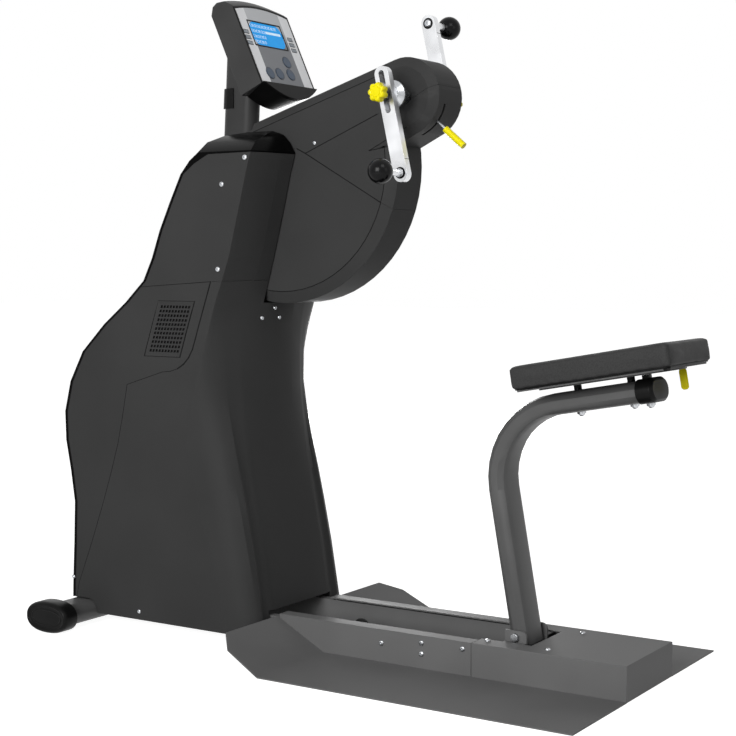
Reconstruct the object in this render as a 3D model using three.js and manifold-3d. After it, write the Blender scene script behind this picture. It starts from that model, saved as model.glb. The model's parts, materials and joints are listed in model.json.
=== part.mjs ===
// Arm ergometer: a pivoting boom with two slotted hand cranks, a moulded tower, a console on a mast,
// and a sheet-steel platform with a folding seat post.
// Millimetres, +Z up. +X points from the tower to the seat end of the platform, -Y is the seated user's left.
// Places along X are measured from the free end of the platform, and the whole is centred over its footprint.

import * as THREE from 'three';
import { mergeVertices } from 'three/addons/utils/BufferGeometryUtils.js';
import Module from 'manifold-3d';

const wasm = await Module();
wasm.setup();

// Overall: the base runs from the back of the tower to the free end of the platform
const baseLength = 1488;
const fit = 0.3;
const seam = 0.5;
const overrun = 20;
const shellWall = 4;

// Platform
const sheet = 3;
const platformHalfWidth = 373;
const rampRun = 129;
const rampRise = 68;
const rampCutRun = 87;
const rampCutIn = 10;
const rampTopHalfWidth = 315;
const deckHalfWidth = 122;
const deckHeight = 76;
const deckBoxLength = 357;
const noseRun = 122;
const lipWidth = 34;
const notchHalfWidth = 74;
const notchEnd = 238;

// Chassis
const beamWidth = 22;
const beamBottom = 12;
const beamHeight = 56;
const beamFrontEnd = 200;
const outriggerShares = [0.672, 0.8333];
const outriggerWidth = 30;
const outriggerThickness = 12;
const outriggerRise = 6;
const footInset = 88;
const footHeight = 36;
const footTubeWidth = 90;
const footTubeHeight = 50;
const footTubeHalfLength = 300;
const footCapWidth = 118;
const footCapHeight = 72;
const footCapFace = 325;
const footCapDepth = 42;
const footCapRim = 6;
const restRadius = 19;
const restDepth = 38;
const restStudRadius = 8;
const restFlangeRadius = 16;

// Seat post, in the frame of the seat: x runs up along the seat arm from the elbow, z square to it
const seatTiltAngle = 10.33;
const elbowX = 372.7;
const hingeHeight = 83;
const postLength = 481.6;
const postThickness = 46;
const postWidth = 90;
const postWall = 3;
const postTail = 22;
const elbowRadius = 165;
const armLength = 362;
const armCapEnd = 394;
const armCapRim = 3;
const armCapStart = 356;
const hingeBoltRadius = 7;
const hingeHeadRadius = 9.5;
const hingeHeadLength = 9;
const lugThickness = 6;
const lugLength = 52;
const lugTop = 14;
const lugBottom = 48;
const bracketWeb = 30;

// Seat
const seatLength = 361;
const seatHalfWidth = 117.7;
const seatThickness = 49.5;
const seatFront = 110;
const seatClear = 40.8;
const seatCorner = 9;
const seatEdge = 7;
const seatCrown = 2;
const spacerRadius = 7.5;
const studRadius = 5;
const studNutRadius = 9;
const studNutHeight = 9;
const studPlaceShares = [0.5815, 0.9185];
const stopLength = 18;
const stopHalfWidth = 15;
const railThickness = 3;
const railHalfWidth = 40;
const railInset = 30;
const panThickness = 4;
const panInset = 12;
const seatLeverWidth = 17;
const seatLeverThickness = 4;
const seatLeverDrop = 46;
const seatLeverY = 59;
const seatLeverInset = 48;

// Tower
const bodyHeight = 1187;
const bodyFoot = 31.4;
const bodyHalfWidth = 200;
const bandInset = 8;
const slotHalfWidth = 66;
const slotBehind = 137;
const mouthDepth = 40;
const mastHoleClear = 4;
const ventSlots = 3;
const ventRows = 11;
const ventSlotShare = 0.86;
const ventRowShare = 0.5;
const ventInset = 3;
const ventThickness = 3;
const ventHeight = 130;
const ventWidth = 108;
const ventLeanRun = 44;

// Boom
const crankReach = 326;
const crankRise = 147.5;
const boomHalfWidth = 62;
const edgeDepth = 12;
const sectorRadius = 309;
const sectorFace = 282;
const sectorEndAngle = -100;
const headRadius = 86;
const headFace = 65;
const headDish = 14;
const rootRadius = 152;
const beamTopAngle = 17.5;
const beamUnderAngle = 26;
const beamTopRun = 443;
const boomWall = 4;
const boomForkBehind = 87;
const junctionReach = 67;
const junctionRise = 33;
const rootSeamRise = 45;
const leverSlotWidth = 8;
const leverSlotStartAngle = -72;
const leverSlotEndAngle = -12;
const leverY = -22;
const leverAngle = -40;
const leverRodRadius = 3;
const leverTip = 150;
const sleeveRadius = 7.5;
const sleeveLength = 60;
const leverRing = 8;

// Drive
const shaftRadius = 10;
const crankPulleyRadius = 40;
const pulleyHalfWidth = 6;
const beltThickness = 3;
const beltY = 25;
const bearingRadius = 24;
const boomPlateY = 34;
const boomPlateThickness = 6;
const boomPlateHalf = 30;
const pivotShaftRadius = 12;
const flyPulleyRadius = 16;
const flywheelReach = 136;
const flywheelDrop = 133;
const flywheelRadius = 105;
const flywheelRim = 24;
const flywheelHalfWidth = 14;
const flywheelWeb = 8;
const flyShaftRadius = 9;

// Fork and mast
const forkY = 84;
const forkThickness = 6;
const forkFootBehind = 167;
const forkWidth = 96;
const mastBehind = 173;
const mastLeanRun = 28;
const mastRise = 305;
const mastDrop = 202;
const mastWidth = 90;
const mastThickness = 50;
const mastFootDepth = 38;
const mastFootHeight = 36;
const clipRise = 84;
const clipLength = 47;
const clipDepth = 45;
const clipThickness = 4;

// Cranks, in the frame of one crank arm: z runs from the shaft to the handle
const crankRadius = 174.5;
const armWidth = 34;
const armThickness = 18;
const armFace = 116;
const armHeadLength = 60;
const slotOutLength = 51;
const slotInLength = 43;
const slotWidth = 13.4;
const hubRadius = 31;
const hubFace = 97;
const hubDiscThickness = 6;
const hubNeckLength = 10;
const boltRadius = 5;
const knobRadius = 19;
const knobLobe = 4;
const knobLobes = 7;
const knobThickness = 22;
const knobCollar = 17;
const knobCollarRadius = 13;
const ballRadius = 27;
const ballCentre = 213;
const armRightSlide = 12;
const spindleRadius = 7;
const spindleTipRadius = 5;
const ballBoreDepth = 30;

// Console, in the frame of its face: z runs up the face, x out of it
const consoleLeanAngle = 24.5;
const consoleAhead = 123;
const consoleDrop = 199.5;
const consoleHalfWidth = 106;
const consoleFaceHeight = 195;
const consoleArch = 12;
const consoleDepth = 66;
const consoleHump = 31;
const consoleRim = 4.5;
const facePocket = 5;
const faceThickness = 2.5;
const faceSet = 0.6;
const baseSag = 38;
const baseLip = 8;
const windowWidth = 124;
const windowHeight = 61;
const windowBottom = 102;
const windowAcross = -8;
const roundKeyRadius = 13.5;
const keyProud = 0.8;
const roundKeyAcrossShares = [-0.264, -0.084, 0.127, 0.139];
const roundKeyUpShares = [0.149, 0.159, 0.169, 0.337];
const smallKeyWidth = 17;
const smallKeyHeight = 8;
const smallKeyAcross = 86;
const smallKeyShift = -5;
const smallKeyUpShares = [0.53, 0.605, 0.68];

// Places of the tower's seams, the fork's corners and the boom's seams
const bandFrontShare = 0.5;
const bandShoulderShares = [[0.672, 0.9975], [0.699, 0.9798]];
const bandFootShare = 0.9563;
const panelFrontShare = 0.668;
const panelCornerShares = [[0.698, 0.5965], [0.712, 0.5300], [0.765, 0.5290]];
const plateShare = 0.496;
const restShare = 0.89;
const upperSeamShare = 0.7077;
const upperSeamBackShare = 0.6959;
const topSeamShare = 0.9528;
const ventPlaceShare = 0.7507;
const ventMiddleShare = 0.6142;
const pivotPlaceShare = 0.6001;
const pivotHeightShare = 0.925;
const forkOutlineShares = [
  [0.662, 0.505], [0.662, 0.640], [0.5865, 0.922], [0.6140, 0.938], [0.676, 0.872], [0.744, 0.872],
  [0.744, 0.820], [0.7125, 0.760],
];
const boomSeamShares = [[-0.758, -0.413], [0.953, 0.25], [1.477, 0.46], [1.846, 0.579]];
const sectorSeamShares = [[1.1468, -0.49], [1.0777, -0.3916], [0.8673, -0.2618]];
const boomForkRun = 274;
const rootRunShare = 0.985;
const rootInnerShare = 1.27;
const sectorTopAngle = 7.8;
const sectorBlendAngle = 2.2;
const boomBossOut = 16;
const standoffShares = [0.3, 0.72];
const standoffRadius = 10;
const shaftCollar = 14;
const flangeLip = 3;
const hubNeckRadius = 20;
const sleeveGripShare = 0.64;
const armTipLength = 19.5;
const crankLeanAngle = 12.76;
const pivotShaftReach = 8;
const consoleHumpShares = [[0, 0], [0.08, 0.26], [0.3, 0.77], [0.61, 1], [0.82, 0.89], [1, 0.35]];
const cornerStartShare = 0.72;
const baseNarrowShare = 0.22;
const baseShallowShare = 0.3;

// Lengths that follow from those above
const plateLength = plateShare * baseLength;
const elbowHeight = hingeHeight + postLength * Math.cos(radians(seatTiltAngle));
const hingeX = elbowX - postLength * Math.sin(radians(seatTiltAngle));
const restX = hingeX + restShare * postLength;
const upperSeam = upperSeamShare * bodyHeight;
const upperSeamBack = upperSeamBackShare * bodyHeight;
const topSeam = topSeamShare * bodyHeight;
const ventX = ventPlaceShare * baseLength;
const ventMiddle = ventMiddleShare * bodyHeight;
const pivotX = pivotPlaceShare * baseLength;
const pivotHeight = pivotHeightShare * bodyHeight;
const crankX = pivotX - crankReach;
const crankHeight = pivotHeight + crankRise;
const slotBack = pivotX + slotBehind;
const boomForkBack = pivotX + boomForkBehind;
const junctionX = pivotX - junctionReach;
const junctionHeight = pivotHeight + junctionRise;
const rootSeamHeight = pivotHeight + rootSeamRise;
const forkFoot = pivotX + forkFootBehind;
const mastFootX = pivotX + mastBehind;
const mastTopX = mastFootX - mastLeanRun;
const mastTop = bodyHeight + mastRise;
const mastFoot = bodyHeight - mastDrop;
const clipHeight = bodyHeight + clipRise;
const consoleX = mastTopX - consoleAhead;
const consoleHeight = mastTop - consoleDrop;
const flangeFrontNose = plateLength + noseRun;
const footX = baseLength - footInset;
const seatReach = (seatFront + seatLength) * Math.cos(radians(seatTiltAngle))
  - (seatClear + seatEdge) * Math.sin(radians(seatTiltAngle)) - elbowX;
const consolePlace = [-consoleX, 0, consoleHeight];
const flywheelAxis = [-pivotX + flywheelReach, 0, pivotHeight - flywheelDrop];
const elbow = [-elbowX, 0, elbowHeight];
const pivot = [-pivotX, 0, pivotHeight];
const crankAxis = [-crankX, 0, crankHeight];

function radians(degrees) {
  return THREE.MathUtils.degToRad(degrees);
}

// Geometry and solids

function solidOf(geometry) {
  const plain = geometry.index ? geometry.toNonIndexed() : geometry.clone();
  plain.deleteAttribute('normal');
  plain.deleteAttribute('uv');
  const merged = mergeVertices(plain, 1e-4);
  return new wasm.Manifold(new wasm.Mesh({
    numProp: 3,
    vertProperties: new Float32Array(merged.attributes.position.array),
    triVerts: new Uint32Array(merged.index.array),
  }));
}

function geometryOf(solid) {
  const mesh = solid.getMesh();
  const geometry = new THREE.BufferGeometry();
  geometry.setAttribute('position', new THREE.BufferAttribute(mesh.vertProperties, 3));
  geometry.setIndex(new THREE.BufferAttribute(mesh.triVerts, 1));
  const flat = geometry.toNonIndexed();
  flat.computeVertexNormals();
  return flat;
}

function outlineOf(points) {
  return new THREE.Shape(points.map(([a, b]) => new THREE.Vector2(a, b)));
}

// An outline in X and Z, pushed from one Y to another
function prismAlongY(shape, from, to, steps = 7) {
  const geometry = new THREE.ExtrudeGeometry(shape, { depth: to - from, bevelEnabled: false, curveSegments: steps });
  return geometry.rotateX(Math.PI / 2).translate(0, to, 0);
}

// An outline in X and Y, pushed from one Z to another
function prismAlongZ(shape, from, to, steps = 7) {
  const geometry = new THREE.ExtrudeGeometry(shape, { depth: to - from, bevelEnabled: false, curveSegments: steps });
  return geometry.translate(0, 0, from);
}

// An outline in Y and Z, pushed from one X to another
function prismAlongX(shape, from, to, steps = 7) {
  const geometry = new THREE.ExtrudeGeometry(shape, { depth: to - from, bevelEnabled: false, curveSegments: steps });
  const turn = new THREE.Matrix4().makeBasis(
    new THREE.Vector3(0, 1, 0), new THREE.Vector3(0, 0, 1), new THREE.Vector3(1, 0, 0));
  return geometry.applyMatrix4(turn).translate(from, 0, 0);
}

function block(x0, x1, y0, y1, z0, z1) {
  return new THREE.BoxGeometry(x1 - x0, y1 - y0, z1 - z0)
    .translate((x0 + x1) / 2, (y0 + y1) / 2, (z0 + z1) / 2);
}

// A turned piece about an axis along Y; the profile lists [radius, y] pairs
function turnedAlongY(profile, [x, , z], steps = 32) {
  const points = profile.map(([radius, y]) => new THREE.Vector2(radius, y));
  const geometry = new THREE.LatheGeometry(points, steps).translate(x, 0, z);
  return facingOut(geometry);
}

// A closed geometry with its faces turned outwards
function facingOut(geometry) {
  const faces = Array.from(geometry.index.array);
  const point = (i) => new THREE.Vector3().fromBufferAttribute(geometry.attributes.position, i);
  let volume = 0;
  for (let i = 0; i < faces.length; i += 3) {
    volume += point(faces[i]).dot(point(faces[i + 1]).cross(point(faces[i + 2])));
  }
  if (volume < 0) geometry.setIndex(faces.reverse());
  return geometry;
}

// A turned piece about an upright axis; the profile lists [radius, z] pairs
function turnedUp(profile, [x, y], steps = 24) {
  const points = profile.map(([radius, z]) => new THREE.Vector2(radius, z));
  return facingOut(new THREE.LatheGeometry(points, steps).rotateX(Math.PI / 2).translate(x, y, 0));
}

function rodAlongY(centre, radius, from, to, steps = 18) {
  return turnedAlongY([[0, from], [radius, from], [radius, to], [0, to]], centre, steps);
}

function circleOutline(radius, x = 0, y = 0) {
  const shape = new THREE.Shape();
  shape.absarc(x, y, radius, 0, 2 * Math.PI);
  return shape;
}

// A flat oval: straight between two half circles, longer along its first axis
function ovalOutline(long, short, x = 0, y = 0) {
  const reach = (long - short) / 2;
  const radius = short / 2;
  const shape = new THREE.Shape();
  shape.absarc(x + reach, y, radius, -Math.PI / 2, Math.PI / 2);
  shape.absarc(x - reach, y, radius, Math.PI / 2, 1.5 * Math.PI);
  return shape;
}

// Two half circles joined by the straight lines that touch both
function capsuleOutline([ax, az], [bx, bz], radiusA, radiusB = radiusA) {
  const along = Math.atan2(bz - az, bx - ax);
  const turn = Math.acos((radiusA - radiusB) / Math.hypot(bx - ax, bz - az));
  const shape = new THREE.Shape();
  shape.absarc(ax, az, radiusA, along + turn, along - turn + 2 * Math.PI);
  shape.absarc(bx, bz, radiusB, along - turn, along + turn);
  return shape;
}

// A closed solid through rings that all have the same count of points; each end is a fan about its middle
function loft(rings) {
  const count = rings[0].length;
  const positions = rings.flat().flatMap((point) => [point.x, point.y, point.z]);
  const faces = [];
  for (let ring = 0; ring < rings.length - 1; ring += 1) {
    for (let i = 0; i < count; i += 1) {
      const a = ring * count + i;
      const b = ring * count + (i + 1) % count;
      faces.push(a, b, b + count, a, b + count, a + count);
    }
  }
  for (const [ring, forward] of [[0, false], [rings.length - 1, true]]) {
    const centre = rings[ring].reduce((sum, point) => sum.add(point), new THREE.Vector3()).divideScalar(count);
    const middle = positions.length / 3;
    positions.push(centre.x, centre.y, centre.z);
    for (let i = 0; i < count; i += 1) {
      const [a, b] = [ring * count + i, ring * count + (i + 1) % count];
      faces.push(...(forward ? [a, b, middle] : [b, a, middle]));
    }
  }
  const geometry = new THREE.BufferGeometry();
  geometry.setAttribute('position', new THREE.Float32BufferAttribute(positions, 3));
  geometry.setIndex(faces);
  return facingOut(geometry);
}

// A thin wall along a line in X and Z, right through the tower or the boom, that parts two shells
function partingWall(line, halfWidth, gap = seam) {
  const left = [];
  const right = [];
  line.forEach(([x, z], i) => {
    const [ax, az] = line[Math.max(i - 1, 0)];
    const [bx, bz] = line[Math.min(i + 1, line.length - 1)];
    const run = Math.hypot(bx - ax, bz - az);
    const nx = -(bz - az) / run * gap / 2;
    const nz = (bx - ax) / run * gap / 2;
    left.push([x + nx, z + nz]);
    right.unshift([x - nx, z - nz]);
  });
  return solidOf(prismAlongY(outlineOf([...left, ...right]), -halfWidth, halfWidth));
}

function mirrored(solid) {
  return solid.mirror([0, 1, 0]);
}

// Materials

const paint = { color: 0x4d4e50, roughness: 0.5, metalness: 0.3 };
const tubePaint = { color: 0x6b6d70, roughness: 0.45, metalness: 0.3 };
const shellPlastic = { color: 0x2b2c2e, roughness: 0.55, metalness: 0 };
const glossPlastic = { color: 0x0d0d0e, roughness: 0.12, metalness: 0 };
const capPlastic = { color: 0x151515, roughness: 0.5, metalness: 0 };
const aluminium = { color: 0xd8dadc, roughness: 0.2, metalness: 1 };
const steel = { color: 0xa8abae, roughness: 0.3, metalness: 1 };
const rubber = { color: 0x121212, roughness: 0.85, metalness: 0 };
const yellow = { color: 0xf2e600, roughness: 0.4, metalness: 0 };
const vinyl = { color: 0x232426, roughness: 0.6, metalness: 0 };
const facePlastic = { color: 0xc9ccd0, roughness: 0.35, metalness: 0.1 };
const display = { color: 0x0aa5e2, roughness: 0.15, metalness: 0 };
const keyPlastic = { color: 0x5b7c99, roughness: 0.4, metalness: 0 };
const silverKey = { color: 0xb9bcc0, roughness: 0.4, metalness: 0.1 };

const ergometer = new THREE.Group();
ergometer.position.set((baseLength - seatReach) / 2, 0, 0);

function place(name, geometry, look, parent = ergometer) {
  const mesh = new THREE.Mesh(geometry, new THREE.MeshStandardMaterial(look));
  mesh.name = name;
  parent.add(mesh);
  return mesh;
}

function placeSolid(name, solid, look, parent = ergometer) {
  return place(name, geometryOf(solid), look, parent);
}

// Platform: each side is one sheet with a turned-up ramp, an upright flange and a lip over the trough

function rampSolid() {
  const slope = Math.atan2(rampRise, rampRun);
  const along = 1 / Math.cos(slope);
  const outline = outlineOf([
    [-sheet, deckHalfWidth - sheet],
    [-sheet, platformHalfWidth],
    [rampCutRun * along, platformHalfWidth - rampCutIn],
    [rampRun * along, rampTopHalfWidth],
    [rampRun * along, deckHalfWidth - sheet],
  ]);
  const geometry = prismAlongZ(outline, 0, sheet);
  const turn = new THREE.Matrix4().makeBasis(
    new THREE.Vector3(-Math.cos(slope), 0, Math.sin(slope)),
    new THREE.Vector3(0, -1, 0),
    new THREE.Vector3(Math.sin(slope), 0, Math.cos(slope)));
  return solidOf(geometry.applyMatrix4(turn).translate(-plateLength, 0, 0));
}

function platformSolid() {
  const floor = solidOf(block(-plateLength, -deckBoxLength, -platformHalfWidth, -deckHalfWidth + sheet, 0, sheet))
    .add(solidOf(block(-deckBoxLength - sheet, 0, -platformHalfWidth, -deckHalfWidth - fit, 0, sheet)));
  const noseTop = flangeFrontNose;
  const flange = solidOf(prismAlongY(outlineOf([
    [-plateLength, 0], [-deckBoxLength, 0], [-deckBoxLength, deckHeight], [-noseTop, deckHeight],
    [-noseTop, rampRise - sheet],
  ]), -deckHalfWidth, -deckHalfWidth + sheet));
  const lip = solidOf(block(-noseTop, -deckBoxLength, -deckHalfWidth, -deckHalfWidth + lipWidth,
    deckHeight - sheet, deckHeight));
  const below = solidOf(block(-baseLength, 0, -platformHalfWidth, platformHalfWidth, -overrun, 0));
  return floor.add(rampSolid()).add(flange).add(lip).subtract(below);
}

function deckBoxSolid() {
  const front = -deckBoxLength + seam;
  const outer = solidOf(block(front, 0, -deckHalfWidth, deckHalfWidth, 0, deckHeight));
  const inner = solidOf(block(front - overrun, -sheet, -deckHalfWidth + sheet, deckHalfWidth - sheet,
    -overrun, deckHeight - sheet));
  const notch = solidOf(block(front - overrun, -notchEnd, -notchHalfWidth, notchHalfWidth, sheet, deckHeight + overrun));
  return outer.subtract(inner).subtract(notch);
}

function buildPlatform() {
  const left = platformSolid();
  placeSolid('platform_left', left, paint);
  placeSolid('platform_right', mirrored(left), paint);
  placeSolid('deck_box', deckBoxSolid(), paint);
}

// Chassis: two beams run from the rear foot to the post bracket under the lips, joined by the trough's floor.
// Outriggers reach the tower's walls and carry its shells.

const beamOuter = deckHalfWidth - sheet - fit;
const beamInner = beamOuter - beamWidth;
const beamTop = beamBottom + beamHeight;
const footCentre = [-footX, footHeight];
const domeSteps = 6;

function footTubeSolid(grow, halfLength2) {
  return solidOf(prismAlongY(
    ovalOutline(footTubeWidth + 2 * grow, footTubeHeight + 2 * grow, ...footCentre), -halfLength2, halfLength2));
}

function footCapSolid() {
  const rim = footCapRim;
  const rings = [
    [-footCapFace, rim], [-footCapFace + rim, 0], [-footCapFace + footCapDepth, 0],
  ].map(([y, inset]) => ovalOutline(footCapWidth - 2 * inset, footCapHeight - 2 * inset, ...footCentre)
    .getPoints(10).slice(0, -1)
    .map((point) => new THREE.Vector3(point.x, y, point.y)));
  const pocket = footTubeSolid(fit, footTubeHalfLength + fit);
  return solidOf(loft(rings)).subtract(pocket);
}

function buildChassis() {
  const tube = footTubeSolid(0, footTubeHalfLength);
  placeSolid('rear_foot_tube', tube, tubePaint);
  const cap = footCapSolid();
  placeSolid('rear_foot_cap_left', cap, capPlastic);
  placeSolid('rear_foot_cap_right', mirrored(cap), capPlastic);
  const beam = solidOf(block(-footX, -beamFrontEnd, -beamOuter, -beamInner, beamBottom, beamTop));
  const floor = solidOf(block(-flangeFrontNose, -sheet - fit, -beamOuter, beamOuter, 0, sheet));
  const riser = solidOf(block(-flangeFrontNose, -beamFrontEnd, -beamOuter, -beamInner, 0, beamBottom + sheet));
  const outriggers = outriggerShares.map((share) => share * baseLength).map((x) => (
    block(-x - outriggerWidth / 2, -x + outriggerWidth / 2, -platformHalfWidth, -beamInner - sheet,
      bodyFoot + outriggerRise, bodyFoot + outriggerRise + outriggerThickness)));
  const within = towerLoft(shellWall + fit, shellWall, towerLevelShares.slice(0, 4));
  const half = outriggers.reduce((sum, arm) => sum.add(solidOf(arm).intersect(within)), beam.add(riser).add(floor));
  placeSolid('chassis_frame', half.add(mirrored(half)).subtract(footTubeSolid(fit, footTubeHalfLength)), paint);
  const restTop = hingeHeight - postThickness / 2 - fit;
  const restFoot = restTop - restDepth;
  const studTop = restFoot + restRadius / 2;
  place('post_rest', turnedUp([
    [0, sheet + fit], [restFlangeRadius, sheet + fit], [restFlangeRadius, sheet * 2 + fit],
    [restStudRadius, sheet * 2 + fit], [restStudRadius, studTop], [0, studTop],
  ], [-restX, 0, 0]), steel);
  const dome = [];
  for (let i = 0; i <= domeSteps; i += 1) {
    const turn = (Math.PI / 2) * (i / domeSteps);
    dome.push([restRadius * Math.cos(turn), restTop - restRadius + restRadius * Math.sin(turn)]);
  }
  dome[domeSteps][0] = 0;
  place('post_rest_buffer', turnedUp([
    [0, studTop + fit], [restStudRadius + fit, studTop + fit], [restStudRadius + fit, restFoot],
    [restRadius, restFoot], ...dome,
  ], [-restX, 0, 0]), rubber);
}

// Seat post and seat: built about the elbow, then leaned by the seat's tilt

const hinge = [0, 0, -postLength];

function postRing(centre, along, half, shrink) {
  const across = new THREE.Vector3(along.z, 0, -along.x);
  const reach = (postWidth - postThickness) / 2;
  const radius = postThickness / 2 - shrink;
  const ring = [];
  const steps = 5;
  for (const side of [1, -1]) {
    for (let i = 0; i <= steps; i += 1) {
      const turn = Math.PI * (i / steps);
      const y = side * (reach + Math.sin(turn) * radius);
      ring.push(centre.clone()
        .addScaledVector(across, side * Math.cos(turn) * radius)
        .add(new THREE.Vector3(0, y, 0)));
    }
  }
  return ring;
}

function postTube(shrink, extra) {
  const rings = [];
  const up = new THREE.Vector3(0, 0, 1);
  rings.push(postRing(new THREE.Vector3(0, 0, -postLength - postTail - extra), up, 0, shrink));
  const bends = 9;
  for (let i = 0; i <= bends; i += 1) {
    const turn = (Math.PI / 2) * (i / bends);
    const centre = new THREE.Vector3(
      elbowRadius - elbowRadius * Math.cos(turn), 0, -elbowRadius + elbowRadius * Math.sin(turn));
    rings.push(postRing(centre, new THREE.Vector3(Math.sin(turn), 0, Math.cos(turn)), 0, shrink));
  }
  rings.push(postRing(new THREE.Vector3(armLength + extra, 0, 0), new THREE.Vector3(1, 0, 0), 0, shrink));
  return solidOf(loft(rings));
}

function studPlaces() {
  return studPlaceShares.map((share) => share * armLength);
}

function seatPostSolid() {
  let post = postTube(0, 0).subtract(postTube(postWall, overrun));
  post = post.subtract(solidOf(rodAlongY(hinge, hingeBoltRadius + fit, -postWidth, postWidth)));
  for (const x of studPlaces()) {
    post = post.subtract(solidOf(prismAlongZ(circleOutline(studRadius + fit, x), -postThickness, postThickness)));
  }
  return post;
}

function postCapSolid() {
  const rings = [
    [armCapStart, armCapRim], [armCapEnd - armCapRim * 2, armCapRim], [armCapEnd, -armCapRim],
  ].map(([x, grow]) => ovalOutline(postWidth + 2 * grow, postThickness + 2 * grow)
    .getPoints(8).slice(0, -1)
    .map((point) => new THREE.Vector3(x, point.x, point.y)));
  const pocket = prismAlongX(ovalOutline(postWidth + 2 * fit, postThickness + 2 * fit), armCapStart - overrun, armLength + fit, 8);
  return solidOf(loft(rings)).subtract(solidOf(pocket));
}

// The rail rests on two spacers; their studs pass through the seat arm and hold a nut below it
function seatRailSolid() {
  const top = seatClear - panThickness - fit;
  let rail = solidOf(block(seatFront + railInset, seatFront + seatLength - railInset,
    -railHalfWidth, railHalfWidth, top - railThickness, top));
  for (const x of studPlaces()) {
    const spacer = prismAlongZ(circleOutline(spacerRadius, x), postThickness / 2 + fit, top - railThickness / 2);
    const stud = prismAlongZ(circleOutline(studRadius, x), -postThickness / 2 - studNutHeight, top - railThickness / 2);
    const nut = prismAlongZ(circleOutline(studNutRadius, x), -postThickness / 2 - fit - studNutHeight, -postThickness / 2 - fit, 6);
    rail = rail.add(solidOf(spacer)).add(solidOf(stud)).add(solidOf(nut));
  }
  const stopFoot = postThickness / 2 + armCapRim * 2 + fit;
  return rail.add(solidOf(block(armCapStart + sheet, armCapStart + sheet + stopLength, -stopHalfWidth, stopHalfWidth,
    stopFoot, top - railThickness / 2)));
}

function roundedBox(halfX, halfY, corner) {
  const shape = new THREE.Shape();
  shape.absarc(halfX - corner, halfY - corner, corner, 0, Math.PI / 2);
  shape.absarc(-halfX + corner, halfY - corner, corner, Math.PI / 2, Math.PI);
  shape.absarc(-halfX + corner, -halfY + corner, corner, Math.PI, 1.5 * Math.PI);
  shape.absarc(halfX - corner, -halfY + corner, corner, 1.5 * Math.PI, 2 * Math.PI);
  return shape;
}

// The cushion's edges roll over, its sides draw in a little at the foot, and its top is faintly crowned
function cushionSolid() {
  const middle = seatFront + seatLength / 2;
  const bottom = seatClear;
  const top = seatClear + seatThickness;
  const levels = [
    [bottom, seatEdge * 0.4], [bottom + seatEdge, 0], [top - seatEdge - seatCrown, 0],
    [top - seatCrown - seatEdge * 0.3, seatEdge * 0.3], [top - seatCrown, seatEdge],
    [top, seatEdge * 5],
  ];
  const rings = levels.map(([z, inset]) => roundedBox(
    seatLength / 2 - inset, seatHalfWidth - inset, Math.max(seatCorner - inset, seatCorner / 4))
    .getPoints(4).slice(0, -1)
    .map((point) => new THREE.Vector3(middle + point.x, point.y, z)));
  return solidOf(loft(rings));
}

function buildSeat() {
  const lean = new THREE.Group();
  lean.position.set(...elbow);
  lean.rotation.y = -radians(seatTiltAngle);
  ergometer.add(lean);
  placeSolid('seat_post', seatPostSolid(), tubePaint, lean);
  placeSolid('post_end_cap', postCapSolid(), capPlastic, lean);
  placeSolid('seat_rail', seatRailSolid(), paint, lean);
  const panHalf = seatHalfWidth - panInset;
  place('seat_pan', block(seatFront + panInset, seatFront + seatLength - panInset, -panHalf, panHalf,
    seatClear - panThickness, seatClear - fit), paint, lean);
  placeSolid('seat_cushion', cushionSolid(), vinyl, lean);
  const leverX = seatFront + seatLength - seatLeverInset;
  const leverTop = seatClear - panThickness - fit;
  const lever = roundedLever(leverX, leverTop);
  place('seat_lever', lever, yellow, lean);
}

function roundedLever(x, top) {
  const shape = new THREE.Shape();
  const half = seatLeverWidth / 2;
  shape.absarc(x, top - half, half, 0, Math.PI);
  shape.lineTo(x - half, top - seatLeverDrop + half / 2);
  shape.lineTo(x - half / 2, top - seatLeverDrop);
  shape.lineTo(x + half / 2, top - seatLeverDrop);
  shape.lineTo(x + half, top - seatLeverDrop + half / 2);
  return prismAlongY(shape, seatLeverY - seatLeverThickness / 2, seatLeverY + seatLeverThickness / 2);
}

// Post bracket: two lugs under the notch's sides, flanges under the deck and a web between the beams

function buildPostBracket() {
  const [axisX, axisHeight] = [-hingeX, hingeHeight];
  const inner = postWidth / 2 + fit * 3;
  const flangeTop = deckHeight - sheet - fit;
  const half = lugLength / 2;
  const lugShape = new THREE.Shape();
  lugShape.moveTo(axisX - half, axisHeight - lugBottom);
  lugShape.lineTo(axisX + half, axisHeight - lugBottom);
  lugShape.lineTo(axisX + half, axisHeight);
  lugShape.absarc(axisX + half - lugTop, axisHeight, lugTop, 0, Math.PI / 2);
  lugShape.lineTo(axisX - half, axisHeight + lugTop);
  const bore = solidOf(rodAlongY([axisX, 0, axisHeight], hingeBoltRadius + fit, -postWidth, postWidth));
  const lug = solidOf(prismAlongY(lugShape, -inner - lugThickness, -inner, 8));
  const flange = solidOf(block(axisX - half, axisX + half, -beamOuter, -inner - lugThickness / 2, flangeTop - sheet, flangeTop));
  const side = lug.add(flange);
  const webTop = axisHeight - postThickness / 2 - fit * 10;
  const web = solidOf(block(axisX - half, axisX - half + lugThickness, -inner - lugThickness / 2, inner + lugThickness / 2,
    axisHeight - lugBottom, Math.min(webTop, axisHeight - lugBottom + bracketWeb)));
  placeSolid('post_bracket', side.add(mirrored(side)).add(web).subtract(bore), paint);
  const boltAxis = [axisX, 0, axisHeight];
  const seatY = inner + lugThickness + fit;
  const bolt = solidOf(rodAlongY(boltAxis, hingeBoltRadius, -seatY - hingeHeadLength / 2, seatY + hingeHeadLength / 2));
  const head = solidOf(rodAlongY(boltAxis, hingeHeadRadius, -seatY - hingeHeadLength, -seatY, 6));
  const nut = solidOf(rodAlongY(boltAxis, hingeHeadRadius, seatY, seatY + hingeHeadLength, 6));
  placeSolid('hinge_bolt', bolt.add(head).add(nut), steel);
}

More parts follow.
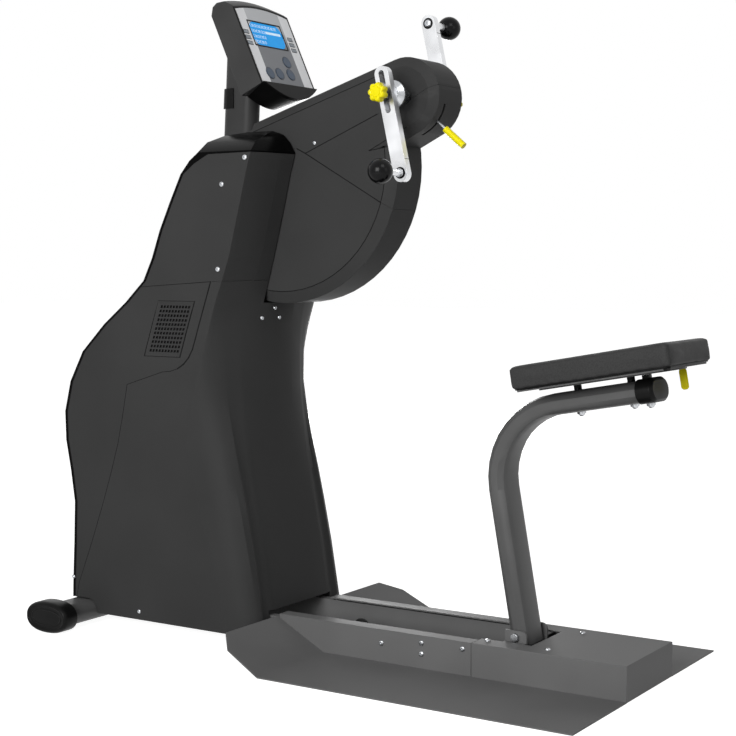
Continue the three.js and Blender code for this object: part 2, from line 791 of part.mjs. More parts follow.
// Tower shell: rings at a few heights. Each row holds shares chosen by hand: height, then along the length
// the flank's rear edge, the rear crown, the crease, the front corner and the front middle, then the width, and
// how far the front is a flat panel between round corners rather than one shallow curve.
const towerLevelShares = [
  [0.0265, 0.9617, 0.9880, 0.9580, 0.6388, 0.5883, 1.000, 1.00],
  [0.0842, 0.9604, 0.9870, 0.9470, 0.6499, 0.5958, 1.000, 1.00],
  [0.1685, 0.9568, 0.9835, 0.9190, 0.6670, 0.6066, 1.000, 1.00],
  [0.2527, 0.9543, 0.9815, 0.8930, 0.6895, 0.6197, 1.000, 1.00],
  [0.3201, 0.9624, 0.9900, 0.8740, 0.7066, 0.6288, 1.000, 0.95],
  [0.3791, 0.9718, 0.9975, 0.8590, 0.7167, 0.6325, 1.000, 0.80],
  [0.4381, 0.9731, 1.0000, 0.8480, 0.7115, 0.6345, 1.000, 0.60],
  [0.5004, 0.9604, 0.9900, 0.8380, 0.7024, 0.6350, 1.000, 0.35],
  [0.5628, 0.9328, 0.9650, 0.8200, 0.6860, 0.6365, 1.000, 0.15],
  [0.6192, 0.8860, 0.9260, 0.7900, 0.6715, 0.6370, 1.000, 0.04],
  [0.6655, 0.8390, 0.8820, 0.7500, 0.6600, 0.6300, 0.995, 0.00],
  [0.7077, 0.8031, 0.8440, 0.7300, 0.6472, 0.6210, 0.990, 0.00],
  [0.7523, 0.7850, 0.8200, 0.7200, 0.6340, 0.6110, 0.990, 0.00],
  [0.8062, 0.7688, 0.8010, 0.7050, 0.6223, 0.6000, 0.990, 0.00],
  [0.8602, 0.7480, 0.7820, 0.6900, 0.6110, 0.5890, 0.990, 0.00],
  [0.9141, 0.7258, 0.7620, 0.6750, 0.6000, 0.5790, 0.990, 0.00],
  [0.9393, 0.7080, 0.7560, 0.6650, 0.5940, 0.5730, 0.990, 0.00],
  [0.9545, 0.6920, 0.7480, 0.6600, 0.5907, 0.5700, 0.985, 0.00],
  [0.9750, 0.6900, 0.7260, 0.6600, 0.5960, 0.5790, 0.830, 0.00],
  [0.9900, 0.6850, 0.7000, 0.6600, 0.6020, 0.5900, 0.560, 0.00],
  [0.9985, 0.6620, 0.6700, 0.6500, 0.6150, 0.6070, 0.330, 0.00],
];
const frontStepShares = [1, 0.985, 0.95, 0.9, 0.84, 0.77, 0.7, 0.62, 0.54, 0.28];
const valleyPlaceShare = 0.68;
const valleySpreadShare = 0.08;
const valleyDepth = 9;

// The front from the corner to the middle: a shallow curve above, and below it a round corner, a valley and a panel
function frontPlace(share, corner, middle, round) {
  const curve = 1 - share ** 2;
  const turn = Math.max(share - cornerStartShare, 0) / (1 - cornerStartShare);
  const panel = Math.sqrt(1 - turn ** 2);
  const valley = round * valleyDepth * Math.exp(-(((share - valleyPlaceShare) / valleySpreadShare) ** 2));
  return corner + (middle - corner) * THREE.MathUtils.lerp(curve, panel, round) - valley;
}

function towerRing(row, inward, drop) {
  const [height, rearEdge, rearCrown, crease, corner, middle, width, round] = row;
  const place2 = (share) => -share * baseLength;
  const flankY = width * bodyHalfWidth;
  const half = [];
  const crown = place2(rearCrown);
  const edge = place2(rearEdge);
  for (const share of [0, 0.45, 0.8]) {
    half.push([edge + (crown - edge) * (1 - share ** 2.5), share * flankY]);
  }
  half.push([edge, flankY], [place2((rearEdge + crease) / 2), flankY], [place2(crease), flankY]);
  half.push([place2((crease + corner) / 2), flankY]);
  for (const share of frontStepShares) {
    half.push([frontPlace(share, place2(corner), place2(middle), round), share * flankY]);
  }
  half.push([frontPlace(0, place2(corner), place2(middle), round), 0]);
  const back = half.slice(1, -1).map(([x, y]) => [x, -y]).reverse();
  const outline = [...half, ...back];
  const z = height * bodyHeight - drop;
  return insetOutline(outline, inward).map(([x, y]) => new THREE.Vector3(x, y, z));
}

// Moves every edge of a closed clockwise outline inwards by the same distance
function insetOutline(outline, inward) {
  const normals = outline.map(([x, y], i) => {
    const [bx, by] = outline[(i + 1) % outline.length];
    return new THREE.Vector2(by - y, x - bx).normalize();
  });
  return outline.map(([x, y], i) => {
    const before = normals[(i + outline.length - 1) % outline.length];
    const after = normals[i];
    const reach = inward / (1 + before.dot(after));
    return [x + (before.x + after.x) * reach, y + (before.y + after.y) * reach];
  });
}

function towerLoft(inward, drop, rows = towerLevelShares) {
  const rings = rows.map((row) => towerRing(row, inward, drop));
  return solidOf(loft(rings));
}

const ventOutlineShares = [
  [-0.5, -0.5], [0.5, -0.5], [0.5, 0.5], [-0.5, 0.5],
];

// The vent leans with the tower's front edge: higher points sit further forward
function ventOutline(grow) {
  return ventOutlineShares.map(([across, up]) => [
    -ventX + across * (ventWidth + 2 * grow) + up * ventLeanRun,
    ventMiddle + up * (ventHeight + 2 * grow),
  ]);
}

function ventGrilleSolid() {
  const outer = -bodyHalfWidth + ventInset;
  const plate = solidOf(prismAlongY(outlineOf(ventOutline(-fit)), outer, outer + ventThickness));
  const halfX = (ventWidth / (ventSlots + 1)) * ventSlotShare / 2;
  const halfZ = (ventHeight / (ventRows + 1)) * ventRowShare / 2;
  const slots = [];
  for (let row = 1; row <= ventRows; row += 1) {
    for (let column = 1; column <= ventSlots; column += 1) {
      const up = row / (ventRows + 1) - 0.5;
      const x = -ventX + (column / (ventSlots + 1) - 0.5) * ventWidth + up * ventLeanRun;
      const z = ventMiddle + up * ventHeight;
      slots.push(solidOf(block(x - halfX, x + halfX, outer - ventThickness, outer + ventThickness * 2, z - halfZ, z + halfZ)));
    }
  }
  return plate.subtract(wasm.Manifold.compose(slots));
}

// Where a line that rises steadily reaches a height
function placeAtHeight(line, height) {
  const above = line.findIndex(([, z]) => z >= height);
  const [[x0, z0], [x1, z1]] = [line[above - 1], line[above]];
  return THREE.MathUtils.mapLinear(height, z0, z1, x0, x1);
}

function rearEdgeLine(inset) {
  return towerLevelShares.slice(0, 16).map(([height, rearEdge]) => [
    -rearEdge * baseLength + inset, height * bodyHeight,
  ]);
}

// The mast leans slightly forward as it rises
function loftedMast(grow, from, to) {
  const rings = [from, to].map((z) => {
    const x = -THREE.MathUtils.mapLinear(z, mastFoot, mastTop, mastFootX, mastTopX);
    return ovalOutline(mastWidth + 2 * grow, mastThickness + 2 * grow, x, 0)
      .getPoints(10).slice(0, -1)
      .map((point) => new THREE.Vector3(point.x, point.y, z));
  });
  return solidOf(loft(rings));
}

function boomSweep(grow) {
  const disc = solidOf(rodAlongY(pivot, sectorRadius + grow, -slotHalfWidth, slotHalfWidth, 56));
  const window = solidOf(block(-slotBack, 0, -slotHalfWidth, slotHalfWidth, 0, mastTop));
  return disc.intersect(window);
}

function towerPieces() {
  let shell = towerLoft(0, 0).subtract(towerLoft(shellWall, shellWall))
    .subtract(solidOf(block(-baseLength, 0, -platformHalfWidth, platformHalfWidth, 0, bodyFoot + fit)));
  shell = shell.subtract(boomSweep(slotHalfWidth - boomHalfWidth))
    .subtract(loftedMast(mastHoleClear, mastFoot, mastTop))
    .subtract(footTubeSolid(shellWall, footTubeHalfLength))
    .subtract(solidOf(block(-baseLength * towerLevelShares[1][5] - mouthDepth, 0, -deckHalfWidth - shellWall, deckHalfWidth + shellWall,
      0, deckHeight + shellWall)));
  const reach = platformHalfWidth;
  const front = -baseLength * bandFrontShare;
  const bandLine = rearEdgeLine(bandInset);
  const band = [
    [front, topSeam], ...bandShoulderShares.map(([along, up]) => [-along * baseLength, up * topSeam]),
    ...bandLine.toReversed(), [-baseLength * bandFootShare, 0],
  ];
  const level = [
    [front, upperSeam + bandInset], [-baseLength * panelFrontShare, upperSeam],
    [placeAtHeight(bandLine, upperSeamBack), upperSeamBack],
  ];
  shell = shell.subtract(partingWall(band, reach)).subtract(partingWall(level, reach))
    .subtract(partingWall(panelLine(), reach));
  const window = solidOf(prismAlongY(outlineOf(ventOutline(0)), -reach, reach));
  return shell.subtract(window).decompose();
}

// Where the side panel ends: down its front edge, round its lower corner, and down the crease to the foot
function panelLine() {
  const [from, through, to] = panelCornerShares.map(([along, up]) => (
    new THREE.Vector2(-along * baseLength, up * bodyHeight)));
  const corner = new THREE.QuadraticBezierCurve(from, through, to).getPoints(6).map((point) => [point.x, point.y]);
  const creases = towerLevelShares.slice(0, 8).reverse()
    .map(([height, , , crease]) => [-crease * baseLength, height * bodyHeight]);
  return [[-baseLength * panelFrontShare, upperSeam + seam], ...corner, ...creases,
    [-baseLength * bandFootShare, 0]];
}

// The shell falls into seven pieces; each is known by where its box lies
function nameOfPiece({ min, max }) {
  const side = max[1] < 0 ? 'left' : 'right';
  if (max[1] > 0 && min[1] < 0) return max[2] > topSeam ? 'rear_cover' : 'lower_housing';
  return `${min[2] < upperSeamBack - ventHeight ? 'side_panel' : 'upper_housing'}_${side}`;
}

function buildTower() {
  for (const piece of towerPieces()) {
    const name = nameOfPiece(piece.boundingBox());
    placeSolid(name, piece, name === 'rear_cover' ? glossPlastic : shellPlastic);
  }
  const grille = ventGrilleSolid();
  placeSolid('vent_grille_left', grille, capPlastic);
  placeSolid('vent_grille_right', mirrored(grille), capPlastic);
}

// Fork and mast: two plates stand on the beams and carry the boom's pivot and the mast

function forkPlateSolid() {
  const [px, pz] = [pivotX, pivotHeight];
  const points = [
    [forkFoot, beamTop + fit], [forkFoot - forkWidth, beamTop + fit],
    ...forkOutlineShares.map(([along, up]) => [along * baseLength, up * bodyHeight]),
  ].map(([x, z]) => [-x, z]);
  const eye = solidOf(rodAlongY([-px, 0, pz], bearingRadius, -forkY - forkThickness, -forkY));
  const plate = solidOf(prismAlongY(outlineOf(points), -forkY - forkThickness, -forkY)).add(eye);
  const foot = solidOf(block(-forkFoot, -forkFoot + forkWidth, -beamOuter, -forkY, beamTop + fit,
    beamTop + fit + forkThickness));
  return plate.add(foot)
    .subtract(solidOf(rodAlongY(pivot, pivotShaftRadius + fit, -forkY - overrun, -forkY + overrun)));
}

function buildForkAndMast() {
  const plate = forkPlateSolid();
  placeSolid('fork_left', plate, paint);
  placeSolid('fork_right', mirrored(plate), paint);
  const inside = loftedMast(-postWall, mastFoot - overrun, mastTop - postWall);
  const front = solidOf(block(-consoleDepth - fit, baseLength, -deckHalfWidth, deckHalfWidth,
    -baseLength, baseLength)).rotate([0, -consoleLeanAngle, 0]).translate(consolePlace);
  const crossHalf = forkY - fit;
  const cross = solidOf(block(-mastFootX - mastFootDepth / 2, -mastFootX + mastFootDepth / 2, -crossHalf, crossHalf,
    mastFoot, mastFoot + mastFootHeight));
  const tube = loftedMast(0, mastFoot, mastTop);
  placeSolid('mast', tube.subtract(inside).add(cross).subtract(front), tubePaint);
  const clipBack = -mastTopX - mastWidth / 2 - overrun;
  const clipFrom = mastWidth / 2 - postThickness / 2;
  const clip = loftedMast(clipThickness + fit, mastFoot, mastTop).intersect(solidOf(block(
    clipBack, clipBack + clipDepth, -mastThickness, -mastThickness / 2 + clipFrom / 2,
    clipHeight - clipLength / 2, clipHeight + clipLength / 2)));
  placeSolid('mast_clip', clip.subtract(loftedMast(fit, mastFoot, mastTop)), capPlastic);
}

// Boom shells: one outline for the beam and its root, a turned head, and a turned sector below the beam

function beamOutline(inset) {
  const turnTop = radians(90 + beamTopAngle);
  const turnUnder = radians(beamUnderAngle - 90);
  const [hx, , hz] = crankAxis;
  const radius = headRadius;
  const top = [hx + radius * Math.cos(turnTop), hz + radius * Math.sin(turnTop)];
  const under = [hx + radius * Math.cos(turnUnder), hz + radius * Math.sin(turnUnder)];
  const back = [top[0] - beamTopRun * Math.cos(radians(beamTopAngle)) * rootRunShare,
    top[1] - beamTopRun * Math.sin(radians(beamTopAngle)) * rootRunShare];
  const from = Math.atan2(back[1] - pivotHeight, back[0] + pivotX);
  const to = radians(360 + sectorEndAngle + 2);
  const points = [top];
  const steps = 8;
  for (let i = 0; i <= steps; i += 1) {
    const turn = THREE.MathUtils.lerp(from, to, i / steps);
    points.push([-pivotX + rootRadius * Math.cos(turn), pivotHeight + rootRadius * Math.sin(turn)]);
  }
  const reach = rootRadius * rootInnerShare;
  points.push([-pivotX + reach, under[1] - (under[0] + pivotX - reach) * Math.tan(radians(beamUnderAngle))], under);
  return insetOutline(points.reverse(), inset);
}

function boomOuter(shrink) {
  const wide = boomHalfWidth - shrink;
  const edge = wide - edgeDepth;
  const drop = headRadius - headFace;
  const rings = [[-wide, drop], [-edge, 0], [edge, 0], [wide, drop]].map(([y, inset]) => (
    beamOutline(inset + shrink).map(([x, z]) => new THREE.Vector3(x, y, z))));
  const turned = (radius, face, centre, steps) => solidOf(turnedAlongY([
    [0, -wide], [face - shrink, -wide], [radius - shrink, -edge], [radius - shrink, edge], [face - shrink, wide],
    [0, wide]], centre, steps));
  const wedge = [[0, 0]];
  const steps = 4;
  const [start, end] = shrink > 0 ? [sectorEndAngle - overrun, sectorTopAngle + sectorBlendAngle] : [sectorEndAngle, sectorTopAngle];
  for (let i = 0; i <= steps; i += 1) {
    const turn = radians(THREE.MathUtils.lerp(start, end, i / steps));
    wedge.push([Math.cos(turn) * sectorRadius * 2, Math.sin(turn) * sectorRadius * 2]);
  }
  const sector = turned(sectorRadius, sectorFace, pivot, 60)
    .intersect(solidOf(prismAlongY(outlineOf(wedge.map(([x, z]) => [x - pivotX, z + pivotHeight])), -wide, wide)));
  return solidOf(loft(rings)).add(turned(headRadius, headFace, crankAxis, 40)).add(sector);
}

function headDishSolid(grow) {
  const profile = [
    [0, boomHalfWidth - headDish - grow], [shaftCollar + fit + grow, boomHalfWidth - headDish - grow],
    [headFace - grow, boomHalfWidth], [headFace - grow, boomHalfWidth + overrun], [0, boomHalfWidth + overrun],
  ];
  return solidOf(turnedAlongY(profile, crankAxis, 24));
}

function leverSlotSolid() {
  const steps = 6;
  const points = [];
  for (let i = 0; i <= steps; i += 1) {
    const turn = radians(THREE.MathUtils.lerp(leverSlotStartAngle, leverSlotEndAngle, i / steps));
    points.push([-crankX + Math.cos(turn) * headRadius * 2, crankHeight + Math.sin(turn) * headRadius * 2]);
  }
  points.push([-crankX, crankHeight]);
  const ring = solidOf(prismAlongY(outlineOf(points), leverY - leverSlotWidth / 2, leverY + leverSlotWidth / 2));
  return ring.subtract(solidOf(rodAlongY(crankAxis, headFace, -boomHalfWidth, boomHalfWidth)));
}

function boomShells() {
  const hollow = boomHalfWidth - boomWall;
  const dish = headDishSolid(0);
  const dishBack = headDishSolid(boomWall);
  const inside = boomOuter(boomWall).subtract(dishBack).subtract(mirrored(dishBack));
  let shell = boomOuter(0).subtract(dish).subtract(mirrored(dish)).subtract(inside);
  shell = shell
    .subtract(solidOf(block(-pivotX - rootRadius - overrun, -boomForkBack, -hollow, hollow, 0, mastTop)))
    .subtract(solidOf(block(-boomForkBack - fit, -pivotX, -hollow, hollow, pivotHeight - rootRadius * 1.3, pivotHeight)))
    .subtract(solidOf(rodAlongY(crankAxis, shaftCollar + fit, -forkY, forkY)))
    .subtract(solidOf(rodAlongY(pivot, pivotShaftRadius + fit, -forkY, forkY)))
    .subtract(leverSlotSolid());
  const upper = [
    [-junctionX, junctionHeight],
    ...boomSeamShares.map(([along, up]) => [-crankX + along * headRadius, crankHeight + up * headRadius]),
  ];
  const rear = [[-junctionX - boomForkRun, rootSeamHeight], [-junctionX - edgeDepth * 2, rootSeamHeight],
    [-junctionX, junctionHeight]];
  const lower = [
    ...sectorSeamShares.map(([along, up]) => [-pivotX + along * sectorRadius, pivotHeight + up * sectorRadius]),
    [-junctionX, junctionHeight],
  ];
  return shell
    .subtract(partingWall([...rear, ...upper.slice(1)], boomHalfWidth + overrun))
    .subtract(partingWall(lower, boomHalfWidth + overrun))
    .decompose();
}

function nameOfShell({ min, max }) {
  if (max[2] > crankHeight + headFace) return 'boom_upper_shell';
  return max[0] > -crankX ? 'boom_lower_shell' : 'sector_shell';
}

// Boom frame: two three-cornered plates carry the pivot, the crank and the flywheel, held apart by standoffs
function boomFrameSolid() {
  const near = -boomPlateY - boomPlateThickness;
  const corners = [crankAxis, pivot, flywheelAxis].map((spot) => (
    solidOf(rodAlongY(spot, boomPlateHalf, near, -boomPlateY))));
  const plate = wasm.Manifold.hull(corners);
  const pivotBoss = solidOf(rodAlongY(pivot, bearingRadius, near - boomBossOut, near + fit));
  const side = plate.add(pivotBoss);
  let frame = side.add(mirrored(side));
  for (const share of standoffShares) {
    const centre = [THREE.MathUtils.lerp(-pivotX, -crankX, share), 0,
      THREE.MathUtils.lerp(pivotHeight, crankHeight, share)];
    frame = frame.add(solidOf(rodAlongY(centre, standoffRadius, near + fit, -near - fit)));
  }
  return frame
    .subtract(solidOf(rodAlongY(crankAxis, shaftRadius + fit, -boomHalfWidth, boomHalfWidth)))
    .subtract(solidOf(rodAlongY(pivot, pivotShaftRadius + fit, -boomHalfWidth, boomHalfWidth)))
    .subtract(solidOf(rodAlongY(flywheelAxis, flyShaftRadius + fit, -boomHalfWidth, boomHalfWidth)));
}

function buildBoom() {
  for (const piece of boomShells()) {
    placeSolid(nameOfShell(piece.boundingBox()), piece, shellPlastic);
  }
  placeSolid('boom_frame', boomFrameSolid(), paint);
}

// Release lever: a ring on the crank's axis with a rod out through the slot, and a sleeve on its tip
function buildReleaseLever() {
  const lever = new THREE.Group();
  lever.position.set(...crankAxis);
  lever.rotation.y = -radians(leverAngle);
  ergometer.add(lever);
  const ring = solidOf(turnedAlongY([
    [shaftRadius + fit * 2, -leverRodRadius], [shaftRadius + leverRing, -leverRodRadius],
    [shaftRadius + leverRing, leverRodRadius], [shaftRadius + fit * 2, leverRodRadius],
    [shaftRadius + fit * 2, -leverRodRadius],
  ], [0, 0, 0]).translate(0, leverY, 0));
  const rod = solidOf(prismAlongX(circleOutline(leverRodRadius, leverY, 0), shaftRadius + leverRing / 2, leverTip));
  placeSolid('release_lever', ring.add(rod), steel, lever);
  const sleeve = solidOf(prismAlongX(circleOutline(sleeveRadius, leverY, 0), leverTip - sleeveLength * sleeveGripShare,
    leverTip + sleeveLength * (1 - sleeveGripShare)));
  const bore = solidOf(prismAlongX(circleOutline(leverRodRadius + fit, leverY, 0), 0, leverTip + fit));
  placeSolid('lever_grip', sleeve.subtract(bore), yellow, lever);
}

// Drive: shafts and pulleys are turned in one; each belt is a closed loop round two pulleys

function pulleyProfile(radius, middle, bore) {
  const lip = flangeLip;
  const half = pulleyHalfWidth;
  return [
    [bore, middle - half], [radius + lip, middle - half], [radius + lip, middle - half + lip / 2],
    [radius, middle - half + lip / 2], [radius, middle + half - lip / 2],
    [radius + lip, middle + half - lip / 2], [radius + lip, middle + half], [bore, middle + half],
  ];
}

function crankShaftGeometry() {
  const half = [
    [shaftRadius, boomPlateY + boomPlateThickness + fit * 3], [shaftCollar, boomPlateY + boomPlateThickness + fit * 3],
    [shaftCollar, hubFace], [hubRadius, hubFace], [hubRadius, hubFace + hubDiscThickness],
    [hubNeckRadius, hubFace + hubDiscThickness + hubNeckLength], [hubNeckRadius, armFace - fit], [boltRadius, armFace - fit],
    [boltRadius, armFace + armThickness + knobCollar + knobThickness / 2], [0, armFace + armThickness + knobCollar + knobThickness / 2],
  ];
  const other = half.map(([radius, y]) => [radius, -y]).reverse();
  const profile = [...other, ...pulleyProfile(crankPulleyRadius, beltY, shaftRadius), ...half];
  return turnedAlongY(profile, crankAxis, 22);
}

function flywheelGeometry() {
  const end = boomPlateY + boomPlateThickness + flangeLip;
  const rim = flywheelRadius - flywheelRim;
  return turnedAlongY([
    [0, -end], [flyShaftRadius, -end], [flyShaftRadius, -flywheelWeb / 2],
    [rim, -flywheelWeb / 2], [rim, -flywheelHalfWidth],
    [flywheelRadius, -flywheelHalfWidth], [flywheelRadius, flywheelHalfWidth],
    [rim, flywheelHalfWidth], [rim, flywheelWeb / 2], [flyShaftRadius, flywheelWeb / 2],
    ...pulleyProfile(flyPulleyRadius, beltY, flyShaftRadius),
    [flyShaftRadius, end], [0, end],
  ], flywheelAxis, 28);
}

function beltGeometry(a, b, radiusA, radiusB, middle, half) {
  const outer = capsuleOutline(a, b, radiusA + fit + beltThickness, radiusB + fit + beltThickness);
  outer.holes.push(new THREE.Path(capsuleOutline(a, b, radiusA + fit, radiusB + fit).getPoints(10)));
  return prismAlongY(outer, middle - half, middle + half, 10);
}

function buildDrive() {
  place('crank_shaft', crankShaftGeometry(), steel);
  const reach = forkY + forkThickness + pivotShaftReach;
  place('pivot_shaft', rodAlongY(pivot, pivotShaftRadius, -reach, reach), steel);
  place('flywheel', flywheelGeometry(), steel);
  const beltHalf = pulleyHalfWidth - flangeLip / 2 - fit;
  place('drive_belt', beltGeometry([-crankX, crankHeight], [flywheelAxis[0], flywheelAxis[2]], crankPulleyRadius,
    flyPulleyRadius, beltY, beltHalf), rubber);
}

// Cranks: each arm is slotted so it can slide on its hub, and is held by a star knob on the hub's stud

function crankArmSolid() {
  const outer = armFace + armThickness;
  const plate = solidOf(prismAlongY(capsuleOutline([0, -armHeadLength + armWidth / 2],
    [0, crankRadius + armTipLength - armWidth / 2], armWidth / 2), armFace, outer));
  const slot = solidOf(prismAlongY(capsuleOutline([0, -slotOutLength + slotWidth / 2], [0, slotInLength - slotWidth / 2],
    slotWidth / 2), armFace - overrun, outer + overrun));
  const handle = [0, 0, crankRadius];
  const spindle = solidOf(turnedAlongY([
    [0, outer - fit], [spindleRadius, outer - fit], [spindleRadius, ballCentre - ballRadius - fit * 4],
    [spindleTipRadius, ballCentre - ballRadius - fit * 4], [spindleTipRadius, ballCentre - ballRadius + ballBoreDepth - fit * 4],
    [0, ballCentre - ballRadius + ballBoreDepth - fit * 4],
  ], handle, 24));
  return plate.subtract(slot).add(spindle);
}

function ballHandleGeometry() {
  const start = Math.asin((spindleRadius + fit) / ballRadius);
  const profile = [[0, ballCentre - ballRadius + ballBoreDepth], [spindleTipRadius + fit, ballCentre - ballRadius + ballBoreDepth]];
  const steps = 13;
  const flat = ballCentre - ballRadius * Math.cos(start);
  profile.push([spindleTipRadius + fit, flat]);
  for (let i = 0; i <= steps; i += 1) {
    const turn = THREE.MathUtils.lerp(start, Math.PI, i / steps);
    profile.push([Math.max(ballRadius * Math.sin(turn), 0), ballCentre - ballRadius * Math.cos(turn)]);
  }
  profile[profile.length - 1][0] = 0;
  return turnedAlongY(profile, [0, 0, crankRadius], 24);
}

function starKnobSolid() {
  const from = armFace + armThickness + fit;
  const points = [];
  const steps = knobLobes * 6;
  for (let i = 0; i < steps; i += 1) {
    const turn = 2 * Math.PI * (i / steps);
    const radius = knobRadius + knobLobe * Math.cos(turn * knobLobes);
    points.push([radius * Math.cos(turn), radius * Math.sin(turn)]);
  }
  const star = solidOf(prismAlongY(outlineOf(points), from + knobCollar, from + knobCollar + knobThickness));
  const collar = solidOf(turnedAlongY([[0, from], [knobCollarRadius, from],
    [knobCollarRadius, from + knobCollar + fit], [0, from + knobCollar + fit]], [0, 0, 0]));
  const bore = solidOf(rodAlongY([0, 0, 0], boltRadius + fit, from - overrun,
    armFace + armThickness + knobCollar + knobThickness / 2 + fit));
  return star.add(collar).subtract(bore);
}

function buildCranks() {
  const sides = [['left', -1, Math.PI - radians(crankLeanAngle)], ['right', 1, -radians(crankLeanAngle)]];
  for (const [name, side, turn] of sides) {
    const crank = new THREE.Group();
    crank.position.set(...crankAxis);
    crank.rotation.y = turn;
    ergometer.add(crank);
    const slide = name === 'right' ? armRightSlide : 0;
    const arm = crankArmSolid().translate(0, 0, slide);
    placeSolid(`crank_arm_${name}`, side < 0 ? mirrored(arm) : arm, aluminium, crank);
    const knob = starKnobSolid();
    placeSolid(`star_knob_${name}`, side < 0 ? mirrored(knob) : knob, yellow, crank);
    const ball = solidOf(ballHandleGeometry()).translate(0, 0, slide);
    placeSolid(`ball_handle_${name}`, side < 0 ? mirrored(ball) : ball, capPlastic, crank);
  }
}

// Console: its face looks up at the seat; keys sit in the face plate's holes and press into the pocket behind it

function consoleOutline(inset, rise = 0) {
  const half = consoleHalfWidth - inset;
  const top = consoleFaceHeight - inset + rise;
  const shape = new THREE.Shape();
  shape.moveTo(-half, inset);
  shape.lineTo(half, inset);
  shape.lineTo(half, top);
  shape.quadraticCurveTo(0, top + consoleArch * 2, -half, top);
  return shape;
}

function keyOutline(width, height, [across, up]) {
  const half = roundedBox(width / 2, height / 2, height / 3);
  return new THREE.Shape(half.getPoints(3).slice(0, -1).map((point) => (
    new THREE.Vector2(point.x + across, point.y + up))));
}

function roundKeyPlaces() {
  return roundKeyAcrossShares.map((share, i) => [
    share * consoleHalfWidth * 2, roundKeyUpShares[i] * consoleFaceHeight]);
}

function smallKeyPlaces() {
  return [-1, 1].flatMap((side) => smallKeyUpShares.map((share) => [
    smallKeyShift + side * smallKeyAcross, share * consoleFaceHeight]));
}

function buildConsole() {
  const console3 = new THREE.Group();
  console3.position.set(...consolePlace);
  console3.rotation.y = -radians(consoleLeanAngle);
  ergometer.add(console3);
  const pocket = solidOf(prismAlongX(consoleOutline(consoleRim), -facePocket, overrun, 10));
  const shells = consoleHumpShares.map(([back, up]) => consoleOutline(0, up * consoleHump).getPoints(10)
    .map((point) => new THREE.Vector3(-back * consoleDepth, point.x, point.y)));
  const housing = solidOf(loft(shells)).subtract(pocket);
  placeSolid('console_housing', housing, tubePaint, console3);
  placeSolid('console_base', consoleBaseSolid(), capPlastic, console3);
  const plateBack = -faceSet - faceThickness;
  let plate = solidOf(prismAlongX(consoleOutline(consoleRim + fit), plateBack, -faceSet, 10));
  const windowPlace = [windowAcross, windowBottom + windowHeight / 2];
  const holes = [
    keyOutline(windowWidth + 2 * fit, windowHeight + 2 * fit, windowPlace),
    ...roundKeyPlaces().map(([across, up]) => circleOutline(roundKeyRadius + fit, across, up)),
    ...smallKeyPlaces().map((spot) => keyOutline(smallKeyWidth + 2 * fit, smallKeyHeight + 2 * fit, spot)),
  ];
  for (const hole of holes) {
    plate = plate.subtract(solidOf(prismAlongX(hole, plateBack - fit, overrun, 8)));
  }
  placeSolid('console_face', plate, facePlastic, console3);
  place('console_window', prismAlongX(keyOutline(windowWidth, windowHeight, windowPlace), plateBack, -faceSet * 2),
    display, console3);
  roundKeyPlaces().forEach(([across, up], i) => {
    place(`round_key_${i + 1}`, prismAlongX(circleOutline(roundKeyRadius, across, up), plateBack, keyProud, 9),
      keyPlastic, console3);
  });
  smallKeyPlaces().forEach((spot, i) => {
    const side = i < smallKeyUpShares.length ? 'left' : 'right';
    place(`small_key_${side}_${(i % smallKeyUpShares.length) + 1}`,
      prismAlongX(keyOutline(smallKeyWidth, smallKeyHeight, spot), plateBack, keyProud / 2), silverKey, console3);
  });
}

// The base hangs below the housing like a shallow bowl that narrows towards the back
function consoleBaseSolid() {
  const rings = [[baseLip, 0], [0, 0], [-consoleDepth, 1]].map(([x, narrow]) => {
    const half = consoleHalfWidth * (1 - narrow * baseNarrowShare);
    const sag = baseSag * (1 - narrow * baseShallowShare);
    const curve = new THREE.QuadraticBezierCurve(
      new THREE.Vector2(-half, -fit), new THREE.Vector2(0, -fit - sag * 2), new THREE.Vector2(half, -fit));
    return curve.getPoints(14).map((point) => new THREE.Vector3(x, point.x, point.y));
  });
  return solidOf(loft(rings));
}

buildPlatform();
buildChassis();
buildPostBracket();
buildSeat();
buildTower();
buildForkAndMast();
buildBoom();
buildReleaseLever();
buildDrive();
buildCranks();
buildConsole();

export default ergometer;
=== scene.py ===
import json
import math

import bmesh
import bpy
import numpy as np
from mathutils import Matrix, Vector
from mathutils.bvhtree import BVHTree

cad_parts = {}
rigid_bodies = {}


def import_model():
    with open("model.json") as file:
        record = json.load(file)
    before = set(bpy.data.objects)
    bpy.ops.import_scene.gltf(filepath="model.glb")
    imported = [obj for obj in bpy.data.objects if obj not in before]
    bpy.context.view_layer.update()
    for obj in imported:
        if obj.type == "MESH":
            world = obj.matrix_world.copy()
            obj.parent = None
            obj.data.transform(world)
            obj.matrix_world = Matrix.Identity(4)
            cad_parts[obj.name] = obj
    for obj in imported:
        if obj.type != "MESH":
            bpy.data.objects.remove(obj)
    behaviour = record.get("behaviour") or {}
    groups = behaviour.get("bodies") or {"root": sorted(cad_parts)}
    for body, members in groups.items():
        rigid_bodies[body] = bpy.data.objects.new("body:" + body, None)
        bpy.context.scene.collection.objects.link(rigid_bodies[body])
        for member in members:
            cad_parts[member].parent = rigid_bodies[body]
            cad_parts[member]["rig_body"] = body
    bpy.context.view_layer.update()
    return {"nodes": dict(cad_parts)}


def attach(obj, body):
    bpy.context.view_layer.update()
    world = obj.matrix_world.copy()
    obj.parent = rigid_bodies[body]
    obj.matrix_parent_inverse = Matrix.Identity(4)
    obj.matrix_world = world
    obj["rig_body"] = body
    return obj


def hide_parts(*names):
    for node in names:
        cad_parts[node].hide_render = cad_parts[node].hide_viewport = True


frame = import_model()
nodes = frame["nodes"]
print("stage: model loaded with", len(nodes), "nodes")

